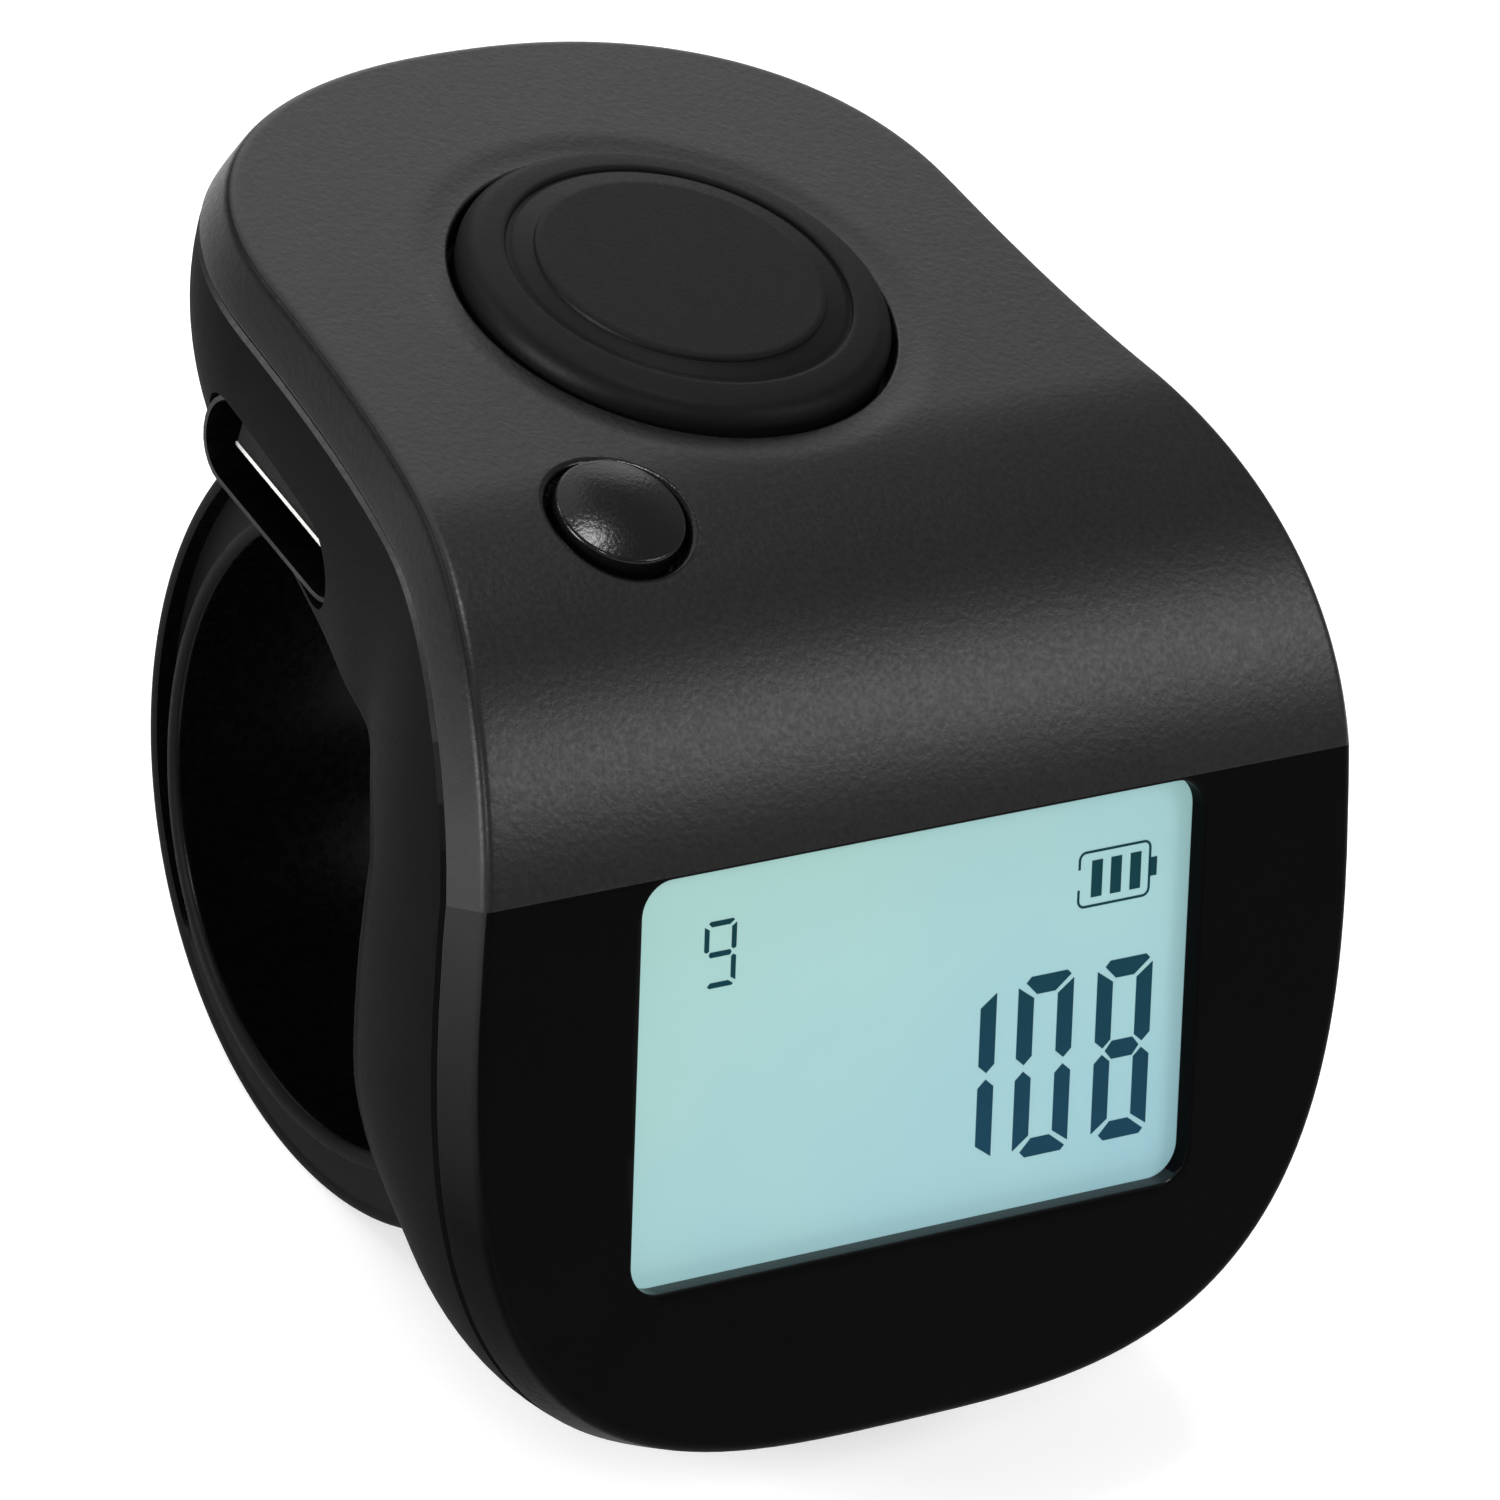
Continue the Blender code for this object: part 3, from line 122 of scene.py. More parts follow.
def closedPrism(shape, outline, low, high, place):
    # prism of a 2-D outline; place(point, level) puts a point in space
    bottom = [shape.verts.new(place(p, low)) for p in outline]
    top = [shape.verts.new(place(p, high)) for p in outline]
    faces = [shape.faces.new(bottom), shape.faces.new(top)]
    for i in range(len(outline)):
        j = (i + 1) % len(outline)
        faces.append(shape.faces.new((bottom[i], bottom[j], top[j], top[i])))
    bmesh.ops.recalc_face_normals(shape, faces=faces)


def roundedRectangle(halfX, halfY, radius, steps=12):
    # outline about the origin, a quarter circle at each corner
    points = []
    for quarter, (sideX, sideY) in enumerate(((1, 1), (-1, 1), (-1, -1), (1, -1))):
        for step in range(steps + 1):
            angle = math.pi / 2.0 * (quarter + step / steps)
            points.append((sideX * (halfX - radius) + radius * math.cos(angle),
                           sideY * (halfY - radius) + radius * math.sin(angle)))
    return points


def turned(profile, segments=128, heightAt=None):
    # solid turned about Z from (radius, z) points, first and last on the axis
    shape = bmesh.new()
    rings = []
    for radius, z in profile[1:-1]:
        ring = []
        for i in range(segments):
            angle = 2.0 * math.pi * i / segments
            x, y = radius * math.cos(angle), radius * math.sin(angle)
            ring.append(shape.verts.new((x, y, z + (heightAt(x, y) if heightAt else 0.0))))
        rings.append(ring)
    first = shape.verts.new((0.0, 0.0, profile[0][1]))
    last = shape.verts.new((0.0, 0.0, profile[-1][1]))
    for i in range(segments):
        j = (i + 1) % segments
        shape.faces.new((first, rings[0][i], rings[0][j]))
        shape.faces.new((last, rings[-1][j], rings[-1][i]))
        for upper, lower in zip(rings, rings[1:]):
            shape.faces.new((upper[i], lower[i], lower[j], upper[j]))
    bmesh.ops.recalc_face_normals(shape, faces=shape.faces[:])
    return shape


def arc(centreX, centreZ, radius, start, end, steps):
    # points on an arc in the (radius, z) plane, angles in degrees
    return [(centreX + radius * math.cos(math.radians(start + (end - start) * i / steps)),
             centreZ + radius * math.sin(math.radians(start + (end - start) * i / steps)))
            for i in range(steps + 1)]


def ease(value, start, end):
    # 0 before start, 1 after end, with a soft change between
    t = min(max((value - start) / (end - start), 0.0), 1.0)
    return t * t * (3.0 - 2.0 * t)


# housing form, in mm: flat top, round bend, flat front that leans back

housing = {
    "topZ": 17.2, "topThickness": 7.8, "bendRadius": 12.0, "bendStart": -4.5,
    "bendAngle": math.radians(62.2), "frontLean": math.radians(21.8), "softTurn": 3.0,
    "widthMean": 14.1, "widthSwing": 1.67, "swellCentre": 3.4, "swellLength": 7.9,
    "rearStart": 9.5, "rearReach": 10.0, "rearPower": 2.25,
    "frontStart": 1.3, "frontReach": 17.2, "frontPower": 3.15,
    "flankTop": 0.50, "flankFront": 0.34, "flankCorner": 0.28, "flankCurve": 1.1, "flankSteps": 8,
    "seamDepth": 1.6, "seamGap": 0.11, "seamBreak": 0.12,
    "outerWall": 1.2, "sideWall": 1.3, "hullInset": 1.1, "floorWall": 1.0, "fingerEdge": 0.35,
    "endSteps": 44, "topSteps": 38, "bendSteps": 52, "frontSteps": 8, "columns": 110,
}
# the finger side, by the distance past the bend: thinner in the bend, thicker below it, thin at the foot
fingerSide = {"bendThin": 0.5, "bendFrom": -10.0, "bendTo": 1.0, "swell": 0.7, "swellLength": 8.5,
              "footThin": 1.2, "footFrom": 6.8, "footTo": 12.3}
bendLength = housing["bendRadius"] * housing["bendAngle"]
frontTurn = math.pi / 2.0 - housing["frontLean"]


def halfWidth(along):
    return housing["widthMean"] + housing["widthSwing"] * math.tanh(
        (along - housing["swellCentre"]) / housing["swellLength"])


def depthTurn(along):
    # direction of depth, which starts and ends its turn softly so that inner layers keep no kink
    radius, soft = housing["bendRadius"], housing["softTurn"]
    if along <= -soft:
        return 0.0
    if along < soft:
        return (along + soft) ** 2 / (4.0 * soft * radius)
    if along <= bendLength:
        return along / radius
    reach = 2.0 * radius * (frontTurn - housing["bendAngle"])
    past = min(along - bendLength, reach)
    return housing["bendAngle"] + past / radius * (1.0 - past / (2.0 * reach))


def profilePoint(along, depth):
    # point (y, z) of the side profile; 0 along is the start of the bend
    radius, lean = housing["bendRadius"], housing["frontLean"]
    turn = min(max(along, 0.0) / radius, housing["bendAngle"])
    past = max(along - bendLength, 0.0)
    y = housing["bendStart"] - min(along, 0.0) - radius * math.sin(turn) - past * math.sin(lean)
    z = housing["topZ"] - radius + radius * math.cos(turn) - past * math.cos(lean)
    turn = depthTurn(along)
    return y + depth * math.sin(turn), z - depth * math.cos(turn)


def fingerDepth(along):
    # how deep the finger side lies under the outer surface
    side, past = fingerSide, along - bendLength
    depth = housing["topThickness"] - side["bendThin"] * ease(past, side["bendFrom"], side["bendTo"])
    depth += side["swell"] * min(max((past - side["bendTo"]) / side["swellLength"], 0.0), 1.0)
    return depth - side["footThin"] * ease(past, side["footFrom"], side["footTo"])


def halfOutline(insetAt, coarse=1):
    # places (x, along) down one side, from the rear tip to the bottom tip
    # insetAt is a length, or a function that gives one for a place along the side
    if not callable(insetAt):
        fixed = insetAt
        insetAt = lambda along: fixed
    ends, tops, bends = (housing[k] // coarse for k in ("endSteps", "topSteps", "bendSteps"))
    front = bendLength + housing["frontStart"]
    places = []
    for step in range(ends + 1):
        angle = math.pi / 2.0 * step / ends
        reach = housing["rearReach"] * max(math.cos(angle), 0.0) ** (2.0 / housing["rearPower"])
        inset = insetAt(-housing["rearStart"] - reach)
        along = -housing["rearStart"] - reach * (1.0 - inset / housing["rearReach"])
        narrowing = math.sin(angle) ** (2.0 / housing["rearPower"])
        places.append(((halfWidth(along) - inset) * narrowing, along))
    middle = [-housing["rearStart"] * (1.0 - step / tops) for step in range(1, tops)]
    middle += [bendLength * step / bends for step in range(bends + 1)]
    fronts = housing["frontSteps"]
    middle += [bendLength + housing["frontStart"] * step / fronts for step in range(1, fronts)]
    places += [(halfWidth(along) - insetAt(along), along) for along in middle]
    for step in range(ends + 1):
        angle = math.pi / 2.0 * step / ends
        reach = housing["frontReach"] * math.sin(angle) ** (2.0 / housing["frontPower"])
        inset = insetAt(front + reach)
        along = front + reach * (1.0 - inset / housing["frontReach"])
        narrowing = max(math.cos(angle), 0.0) ** (2.0 / housing["frontPower"])
        places.append(((halfWidth(along) - inset) * narrowing, along))
    places[0], places[-1] = (0.0, places[0][1]), (0.0, places[-1][1])
    return places


def housingLoop(shape, inset, depthAt, coarse=1):
    # closed loop of points round the housing, left side first
    half = [Vector((-x, *profilePoint(along, depthAt(along)))) for x, along in halfOutline(inset, coarse)]
    mirrored = [Vector((-p.x, p.y, p.z)) for p in half[-2:0:-1]]
    return [shape.verts.new(p) for p in half + mirrored]


def capGrid(shape, loop, places, depthAt, columns):
    # rows across the housing between the two sides of a loop, so that it can be dished finely
    count = len(loop)
    tip = count // 2
    rows = []
    for i in range(1, tip):
        left, right = loop[i], loop[count - i]
        row = [left]
        for c in range(1, columns):
            x = left.co.x + (right.co.x - left.co.x) * c / columns
            along = places[i][1]
            row.append(shape.verts.new((x, *profilePoint(along, depthAt(x, along)))))
        rows.append(row + [right])
    for upper, lower in zip(rows, rows[1:]):
        for c in range(columns):
            shape.faces.new((upper[c], upper[c + 1], lower[c + 1], lower[c]))
    for row, end in ((rows[0], loop[0]), (rows[-1], loop[tip])):
        for c in range(columns):
            shape.faces.new((row[c], row[c + 1], end))


def joinLoops(shape, loops):
    for lower, upper in zip(loops, loops[1:]):
        for i in range(len(lower)):
            j = (i + 1) % len(lower)
            shape.faces.new((lower[i], lower[j], upper[j], upper[i]))


frontFrame = (Matrix.Translation((0.0, *profilePoint(bendLength - 1e-6, 0.0)))
              @ Matrix.Rotation(math.pi / 2.0 - housing["frontLean"], 4, "X"))  # local -Y runs down the front


# materials

moulding = {"ior": 1.54, "mottleShare": 0.35, "pitsPerGrain": 1.6, "glossSwing": 0.05}


def mouldedPlastic(name, colours, grainMm, grainHeight, roughness, specular, mottleMm=3.0, fade=None):
    # moulded ABS: the pigment is even, so the eye gets its grain from the tool's spark-eroded pits
    # fade: painted shade by height, as (z of the full colour, z of the darkest, share of the colour left
    # there)
    look, tree, shader = newMaterial(name)
    place = addNode(tree, "ShaderNodeTexCoord").outputs["Object"]
    mottle = addNode(tree, "ShaderNodeTexNoise", {"Scale": 1000.0 / mottleMm, "Detail": 3.0}, Vector=place)
    grain = addNode(tree, "ShaderNodeTexNoise", {"Scale": 1000.0 / grainMm, "Detail": 2.0, "Roughness": 0.6},
                    Vector=place)
    pits = addNode(tree, "ShaderNodeTexVoronoi", {"Scale": 1000.0 / (grainMm * moulding["pitsPerGrain"])},
                   Vector=place)
    blend = addNode(tree, "ShaderNodeMath", {"operation": "MULTIPLY_ADD", 1: moulding["mottleShare"]},
                    i0=grain.outputs[0], i2=mottle.outputs[0])
    share = addNode(tree, "ShaderNodeMapRange", {"From Min": 0.35, "From Max": 1.0}, Value=blend.outputs[0])
    colour = addNode(tree, "ShaderNodeMix",
                     {"data_type": "RGBA", 6: linear(colours[0]), 7: linear(colours[1])},
                     i0=share.outputs[0]).outputs[2]
    swing = moulding["glossSwing"]
    rough = addNode(tree, "ShaderNodeMapRange", {"From Min": 0.3, "From Max": 0.7,
                                                 "To Min": roughness - swing, "To Max": roughness + swing},
                    Value=grain.outputs[0]).outputs[0]
    height = addNode(tree, "ShaderNodeMath", {"operation": "MULTIPLY_ADD", 1: 0.5},
                     i0=pits.outputs[0], i2=grain.outputs[0]).outputs[0]
    bump = addNode(tree, "ShaderNodeBump", {"Strength": 1.0, "Distance": grainHeight * 0.001}, Height=height)
    shader.inputs["IOR"].default_value = moulding["ior"]
    shader.inputs["Specular IOR Level"].default_value = specular
    # the fade paints shade into the colour: darker towards the given z
    if fade:
        full, dark, left = fade
        level = addNode(tree, "ShaderNodeSeparateXYZ", Vector=place).outputs[2]
        part = addNode(tree, "ShaderNodeMapRange", {"From Min": dark * 0.001, "From Max": full * 0.001,
                                                    "To Min": left, "To Max": 1.0}, Value=level)
        colour = addNode(tree, "ShaderNodeMix", {"data_type": "RGBA", 6: (0.0, 0.0, 0.0, 1.0)},
                         i0=part.outputs[0], i7=colour).outputs[2]
    tree.links.new(colour, shader.inputs["Base Color"])
    tree.links.new(rough, shader.inputs["Roughness"])
    tree.links.new(bump.outputs[0], shader.inputs["Normal"])
    return look


# real spark-eroded grain can be finer than 0.16 mm: it is drawn as coarse as it needs to show
coverLook = mouldedPlastic("ABS moulded spark-eroded black", ("#0d0d0f", "#121214"), 0.16, 0.008, 0.36,
                           0.30)  # satin black whose pits break up the highlight
flankLook = mouldedPlastic("ABS moulded fine-eroded black", ("#1a1a1b", "#212122"), 0.16, 0.008, 0.38, 0.11,
                           fade=(12.0, 16.0, 0.22))  # painted light: grey down the bend, with painted shade darkening it to black round the top
frontFlankLook = mouldedPlastic("ABS moulded matte black shaded to its foot", ("#202020", "#272727"), 0.16, 0.006, 0.45,
                                0.02, fade=(11.0, 1.5, 0.03))  # painted light and shade: grey high up, darkening to black at its foot
faceLook = mouldedPlastic("ABS moulded polished black", ("#040405", "#060607"), 0.16, 0.003, 0.40,
                          0.025)  # near black and even, so the display stands out
hullLook = mouldedPlastic("ABS moulded fine matte black", ("#050506", "#080809"), 0.12, 0.004, 0.7,
                          0.02)  # dull, so the sides fall back into shade
bandLook = mouldedPlastic("ABS moulded smooth black", ("#050506", "#070708"), 0.2, 0.002, 0.52,
                          0.045)  # soft, wide highlight along its bead
keyLook = mouldedPlastic("ABS moulded matte charcoal", ("#09090a", "#0c0c0d"), 0.1, 0.004, 0.5,
                         0.092)  # a shade lighter than the cover, without its sparkle
insideLook = mouldedPlastic("ABS moulded polished inside", ("#030304", "#050506"), 0.3, 0.0003, 0.27,
                            0.13)  # smooth against the finger, with one faint reflection
resetLook = mouldedPlastic("ABS polished black key", ("#09090a", "#0d0d0e"), 0.1, 0.006, 0.2,
                           0.26)  # glossy dome with a small sharp highlight


# outer cover

cover = {"dishRadius": 7.9, "dishFlat": 6.95, "dishDepth": 0.07, "holeEdge": 0.12, "resetEdge": 0.24,
         "keyGap": 0.2, "edgeSteps": 10, "windowEdge": 0.10, "above": 1.0, "countCut": 2.5, "resetCut": 3.0,
         "windowCut": 2.6, "cellMargin": 0.8, "cellLedge": 1.2, "cellGap": 0.25, "cellBottom": 13.0}
# where the finishes change: cosines for facing and ledgeUp, mm for the rest
finish = {"facing": 0.8, "frontBelow": 5.2, "windowSide": 10.5, "windowDown": 13.5, "ledgeUp": 0.7,
          "ledgeDown": 5.0, "resetAround": 2.8, "resetDepth": 3.0, "countAround": 7.2, "rimMargin": 0.02}
countKey = {"y": 2.0, "radius": 6.5, "shoulder": 0.648, "ringHeight": 0.75, "creaseRadius": 5.1,
            "plateauRadius": 4.37, "height": 0.94, "lip": 0.65, "back": 1.95, "skin": 1.1, "post": 1.8,
            "skirt": 1.45, "flange": 0.5}
resetKey = {"x": -7.26, "tilt": math.radians(10.6), "radius": 1.95, "height": 0.44, "rim": 0.12,
            "domeStep": 0.06, "domeDrop": 0.25, "rimDrop": 0.37, "skirt": 1.45, "flange": 0.5, "back": 1.8,
            "post": 0.8, "postEnd": 2.2}
window = {"width": 19.7, "height": 12.4, "top": 0.1, "corner": 1.0, "lip": 0.6}


def coverDepth(x, along):
    # dished ring round the count key
    y = profilePoint(along, 0.0)[0]
    r = math.hypot(x, y - countKey["y"])
    return cover["dishDepth"] * (1.0 - ease(r, cover["dishFlat"], cover["dishRadius"]))


def surfaceDepth(point):
    # how deep a point lies under the outer surface, on the flat top or the bend
    if point.y >= housing["bendStart"]:
        return housing["topZ"] - point.z
    centreZ = housing["topZ"] - housing["bendRadius"]
    return housing["bendRadius"] - math.hypot(point.y - housing["bendStart"], point.z - centreZ)


def bendTurn(point):
    # angle round the centre of the bend, 0 on the top and growing down the front
    return math.atan2(housing["bendStart"] - point.y, point.z - housing["topZ"] + housing["bendRadius"])


resetAlong = housing["bendRadius"] * resetKey["tilt"]
resetFrame = (Matrix.Translation((resetKey["x"], *profilePoint(resetAlong, 0.0)))
              @ Matrix.Rotation(resetKey["tilt"], 4, "X"))


def resetSurface(x, y):
    # height of the outer surface over the reset key's own plane
    height = 0.0
    for _ in range(12):
        height += surfaceDepth(resetFrame @ Vector((x, y, height)))
    return height


def flankInset(along):
    # how far the top face stops short of the side; the sloping flank between them is wider on the top
    return housing["flankTop"] + (housing["flankFront"] - housing["flankTop"]) * ease(along, -2.0, 13.0)


def coverFinish(place, normal):
    # number of the finish that a spot of the moulding has, in the order in which makeCover adds them
    grained, polishedFace, flank, polishedEdge, frontFlank = range(5)
    turn = bendTurn(place)
    onFront = turn > housing["bendAngle"] + 1e-4 or place.z < finish["frontBelow"]
    turn = frontTurn if onFront else max(turn, 0.0)
    facing = normal.dot(Vector((0.0, -math.sin(turn), math.cos(turn)))) > finish["facing"]
    down = (Vector((0.0, *profilePoint(bendLength, 0.0))) - place).dot(
        Vector((0.0, math.sin(housing["frontLean"]), math.cos(housing["frontLean"]))))
    inWindow = onFront and abs(place.x) < finish["windowSide"] and down < finish["windowDown"]
    spot = resetFrame.inverted() @ place
    fromReset = math.hypot(spot.x, spot.y)
    nearReset = fromReset < finish["resetAround"] and abs(spot.z) < finish["resetDepth"]
    inHole = math.hypot(place.x, place.y - countKey["y"]) < finish["countAround"] or nearReset
    rim = resetKey["radius"] + cover["keyGap"] + cover["resetEdge"] - finish["rimMargin"]
    if inWindow and not facing and normal.z > finish["ledgeUp"] and down > finish["ledgeDown"]:
        return polishedEdge  # the ledge under the film mirrors its light
    if onFront and (facing or inWindow):
        return polishedFace
    if not facing and not inHole:
        return frontFlank if onFront else flank
    if nearReset and fromReset < rim:
        return polishedEdge  # the finger polishes the reset hole's edge
    return grained


def makeCover():
    shape = bmesh.new()
    seam, nick, corner = housing["seamDepth"], housing["seamBreak"], housing["flankCorner"]
    curve, steps = housing["flankCurve"], housing["flankSteps"]
    cornerShare = (1.0 - corner / (seam - nick)) ** curve
    loops = []
    for step in range(cover["edgeSteps"] + 1):
        # a small round from the top face into the flank, which slopes out to the seam
        t = step / cover["edgeSteps"]
        down = corner * t * t
        shares = ((1 - t) ** 2 + 2 * t * (1 - t) + t * t * cornerShare, corner * (1 - t) ** 2)
        loops.append(housingLoop(shape, lambda along, k=shares: flankInset(along) * k[0] + k[1],
                                 lambda along, d=down: d))
    for step in range(1, steps):
        depth = corner + (seam - nick - corner) * step / steps
        share = (1.0 - depth / (seam - nick)) ** curve
        loops.append(housingLoop(shape, lambda along, k=share: flankInset(along) * k,
                                 lambda along, d=depth: d))
    for inset, depth in ((0.0, seam - nick), (0.3 * nick, seam - 0.3 * nick), (nick, seam),
                         (housing["sideWall"], seam), (housing["sideWall"], housing["outerWall"])):
        loops.append(housingLoop(shape, inset, lambda along, d=depth: d))
    joinLoops(shape, loops)
    capGrid(shape, loops[0], halfOutline(lambda along: flankInset(along) + corner), coverDepth,
            housing["columns"])
    capGrid(shape, loops[-1], halfOutline(housing["sideWall"]), lambda x, along: housing["outerWall"], 6)
    bmesh.ops.recalc_face_normals(shape, faces=shape.faces[:])
    piece = makeObject("outerCover", shape)

    # holes for the two keys, with a small round at their mouths
    above = cover["above"]
    edge, top = cover["holeEdge"], housing["topZ"] - cover["dishDepth"]
    hole = countKey["radius"] + cover["keyGap"]
    profile = [(0.0, top + above), (hole + edge, top + above)]
    profile += arc(hole + edge, top - edge, edge, 90, 180, 5)
    profile += [(hole, top - cover["countCut"]), (0.0, top - cover["countCut"])]
    tool = turned(profile, 160)
    tool.transform(Matrix.Translation((0.0, countKey["y"], 0.0)))
    carve(piece, tool)

    hole, edge = resetKey["radius"] + cover["keyGap"], cover["resetEdge"]
    profile = [(0.0, above), (hole + edge, above)] + arc(hole + edge, -edge, edge, 90, 180, 5)
    profile += [(hole, -cover["resetCut"]), (0.0, -cover["resetCut"])]
    tool = turned(profile, 96, resetSurface)
    tool.transform(resetFrame)
    carve(piece, tool)

    # display window, flared at its mouth
    tool = bmesh.new()
    middle = window["top"] + window["height"] / 2.0
    rings = []
    flare = cover["windowEdge"]
    levels = [(flare, above)]
    for angle in [math.pi / 2 * i / 4 for i in range(5)]:
        levels.append((flare * (1 - math.sin(angle)), -flare * (1 - math.cos(angle))))
    levels.append((0.0, -cover["windowCut"]))
    for grow, level in levels:
        outline = roundedRectangle(window["width"] / 2 + grow, window["height"] / 2 + grow,
                                   window["corner"] + grow)
        rings.append([tool.verts.new((x, y - middle, level)) for x, y in outline])
    joinLoops(tool, rings)
    tool.faces.new(rings[0])
    tool.faces.new(rings[-1])
    bmesh.ops.recalc_face_normals(tool, faces=tool.faces[:])
    tool.transform(frontFrame)
    carve(piece, tool)

    # room for the display's glass behind the lip of the window
    tool = bmesh.new()
    halfCell = window["width"] / 2 + cover["cellMargin"] + cover["cellGap"]
    cellTop = window["top"] - cover["cellLedge"] - cover["cellGap"]
    cellBottom = cover["cellBottom"] + cover["cellGap"]
    corners = [(-halfCell, -cellBottom), (halfCell, -cellBottom), (halfCell, -cellTop), (-halfCell, -cellTop)]
    closedPrism(tool, corners, -window["lip"] - cover["cellLedge"], -window["lip"],
                lambda p, level: (p[0], p[1], level))
    tool.transform(frontFrame)
    carve(piece, tool)
    handOver(piece, "housing", coverLook, ["outer_shell"])
    for look in (faceLook, flankLook, resetLook, frontFlankLook):
        piece.data.materials.append(look)
    for face in piece.data.polygons:
        face.material_index = coverFinish(face.center * 1000.0, face.normal)


# inner hull

socket = {"y": 2.7, "z": 11.275, "width": 8.2, "height": 2.85, "gap": 0.1, "mouthX": -11.7,
          "length": 7.1, "cutAhead": 4.0}
hullForm = {"bendFlare": 0.5, "bendCentre": -0.5, "bendSpan": 3.2, "rearPull": 0.5, "pullFrom": 4.0,
            "pullTo": 10.0, "glintWidth": 0.13, "glintBright": 13.4, "glintSoft": 12.2, "glintEnd": 11.2}


def lipInset(along):
    # how far the finger side draws in from the seam: less where the limb bends, more to the rear
    flare = hullForm["bendFlare"] * math.exp(-((along - hullForm["bendCentre"]) / hullForm["bendSpan"]) ** 2)
    pull = hullForm["rearPull"] * ease(-along, hullForm["pullFrom"], hullForm["pullTo"])
    return housing["hullInset"] - flare + pull


def hullLoop(shape, share, extraInset, topDepth, bottomGap, coarse=1):
    # share runs from 0 at the seam to 1 at the finger side
    def depthAt(along):
        return topDepth + (fingerDepth(along) + bottomGap - topDepth) * share
    return housingLoop(shape, lambda along: lipInset(along) * share * share + extraInset, depthAt, coarse)


def makeHull():
    shape = bmesh.new()
    seam = housing["seamDepth"] + housing["seamGap"]
    nick, edge = housing["seamBreak"], housing["fingerEdge"]
    loops = [hullLoop(shape, 1.0 - step / 6, housing["sideWall"], seam, -housing["floorWall"])
             for step in range(7)]
    loops += [hullLoop(shape, 0.0, nick, seam, -edge), hullLoop(shape, 0.02, 0.0, seam, -edge)]
    loops += [hullLoop(shape, step / 16, 0.0, seam, -edge) for step in range(1, 17)]
    for step in range(1, 6):
        angle = math.pi / 2.0 * step / 5
        loops.append(hullLoop(shape, 1.0, edge * (1 - math.cos(angle)), seam, -edge * (1 - math.sin(angle))))
    joinLoops(shape, loops)
    inner = halfOutline(lambda along: lipInset(along) + housing["sideWall"])
    outer = halfOutline(lambda along: lipInset(along) + edge)
    capGrid(shape, loops[0], inner, lambda x, along: fingerDepth(along) - housing["floorWall"], 6)
    capGrid(shape, loops[-1], outer, lambda x, along: fingerDepth(along), 24)
    bmesh.ops.recalc_face_normals(shape, faces=shape.faces[:])
    piece = makeObject("innerHull", shape)

    tool = bmesh.new()
    halfY, halfZ = socket["width"] / 2 + socket["gap"], socket["height"] / 2 + socket["gap"]
    outline = [(y + socket["y"], z + socket["z"])
               for y, z in roundedRectangle(halfY, halfZ, halfZ * 0.98, 16)]
    closedPrism(tool, outline, socket["mouthX"] - socket["cutAhead"],
                socket["mouthX"] + socket["length"] + socket["gap"], lambda p, level: (level, p[0], p[1]))
    carve(piece, tool)
    handOver(piece, "housing", hullLook, ["inner_shell"])
    # the broken edge along the seam gets glossier, lighter finishes high up and duller, darker ones lower
    # down: a painted highlight that catches the light at the top and fades down the bend
    for look in (coverLook, keyLook, bandLook):
        piece.data.materials.append(look)
    for face in piece.data.polygons:
        place = face.center * 1000.0
        onEdge = seam < surfaceDepth(place) < seam + hullForm["glintWidth"] and place.z > hullForm["glintEnd"]
        if bendTurn(place) < housing["bendAngle"] and onEdge:
            # painted highlight: the finish steps down with height
            soft = 2 if place.z > hullForm["glintSoft"] else 3
            face.material_index = 1 if place.z > hullForm["glintBright"] else soft


# finger band

band = {"halfWidth": 7.95, "innerRadius": 9.4, "outerRadius": 12.05, "outerY": -0.75, "outerZ": 1.0,
        "topEnd": 67.5, "frontEnd": -202.0, "gap": 0.3, "steps": 220,
        "bead": 0.62, "rail": 0.5, "grooveDepth": 0.6, "grooveEnd": -57.0, "fade": 10.0,
        "shallow": 0.08, "beadRound": 0.28, "railRound": 0.2, "railIn": 0.05, "insideFacing": 0.9}


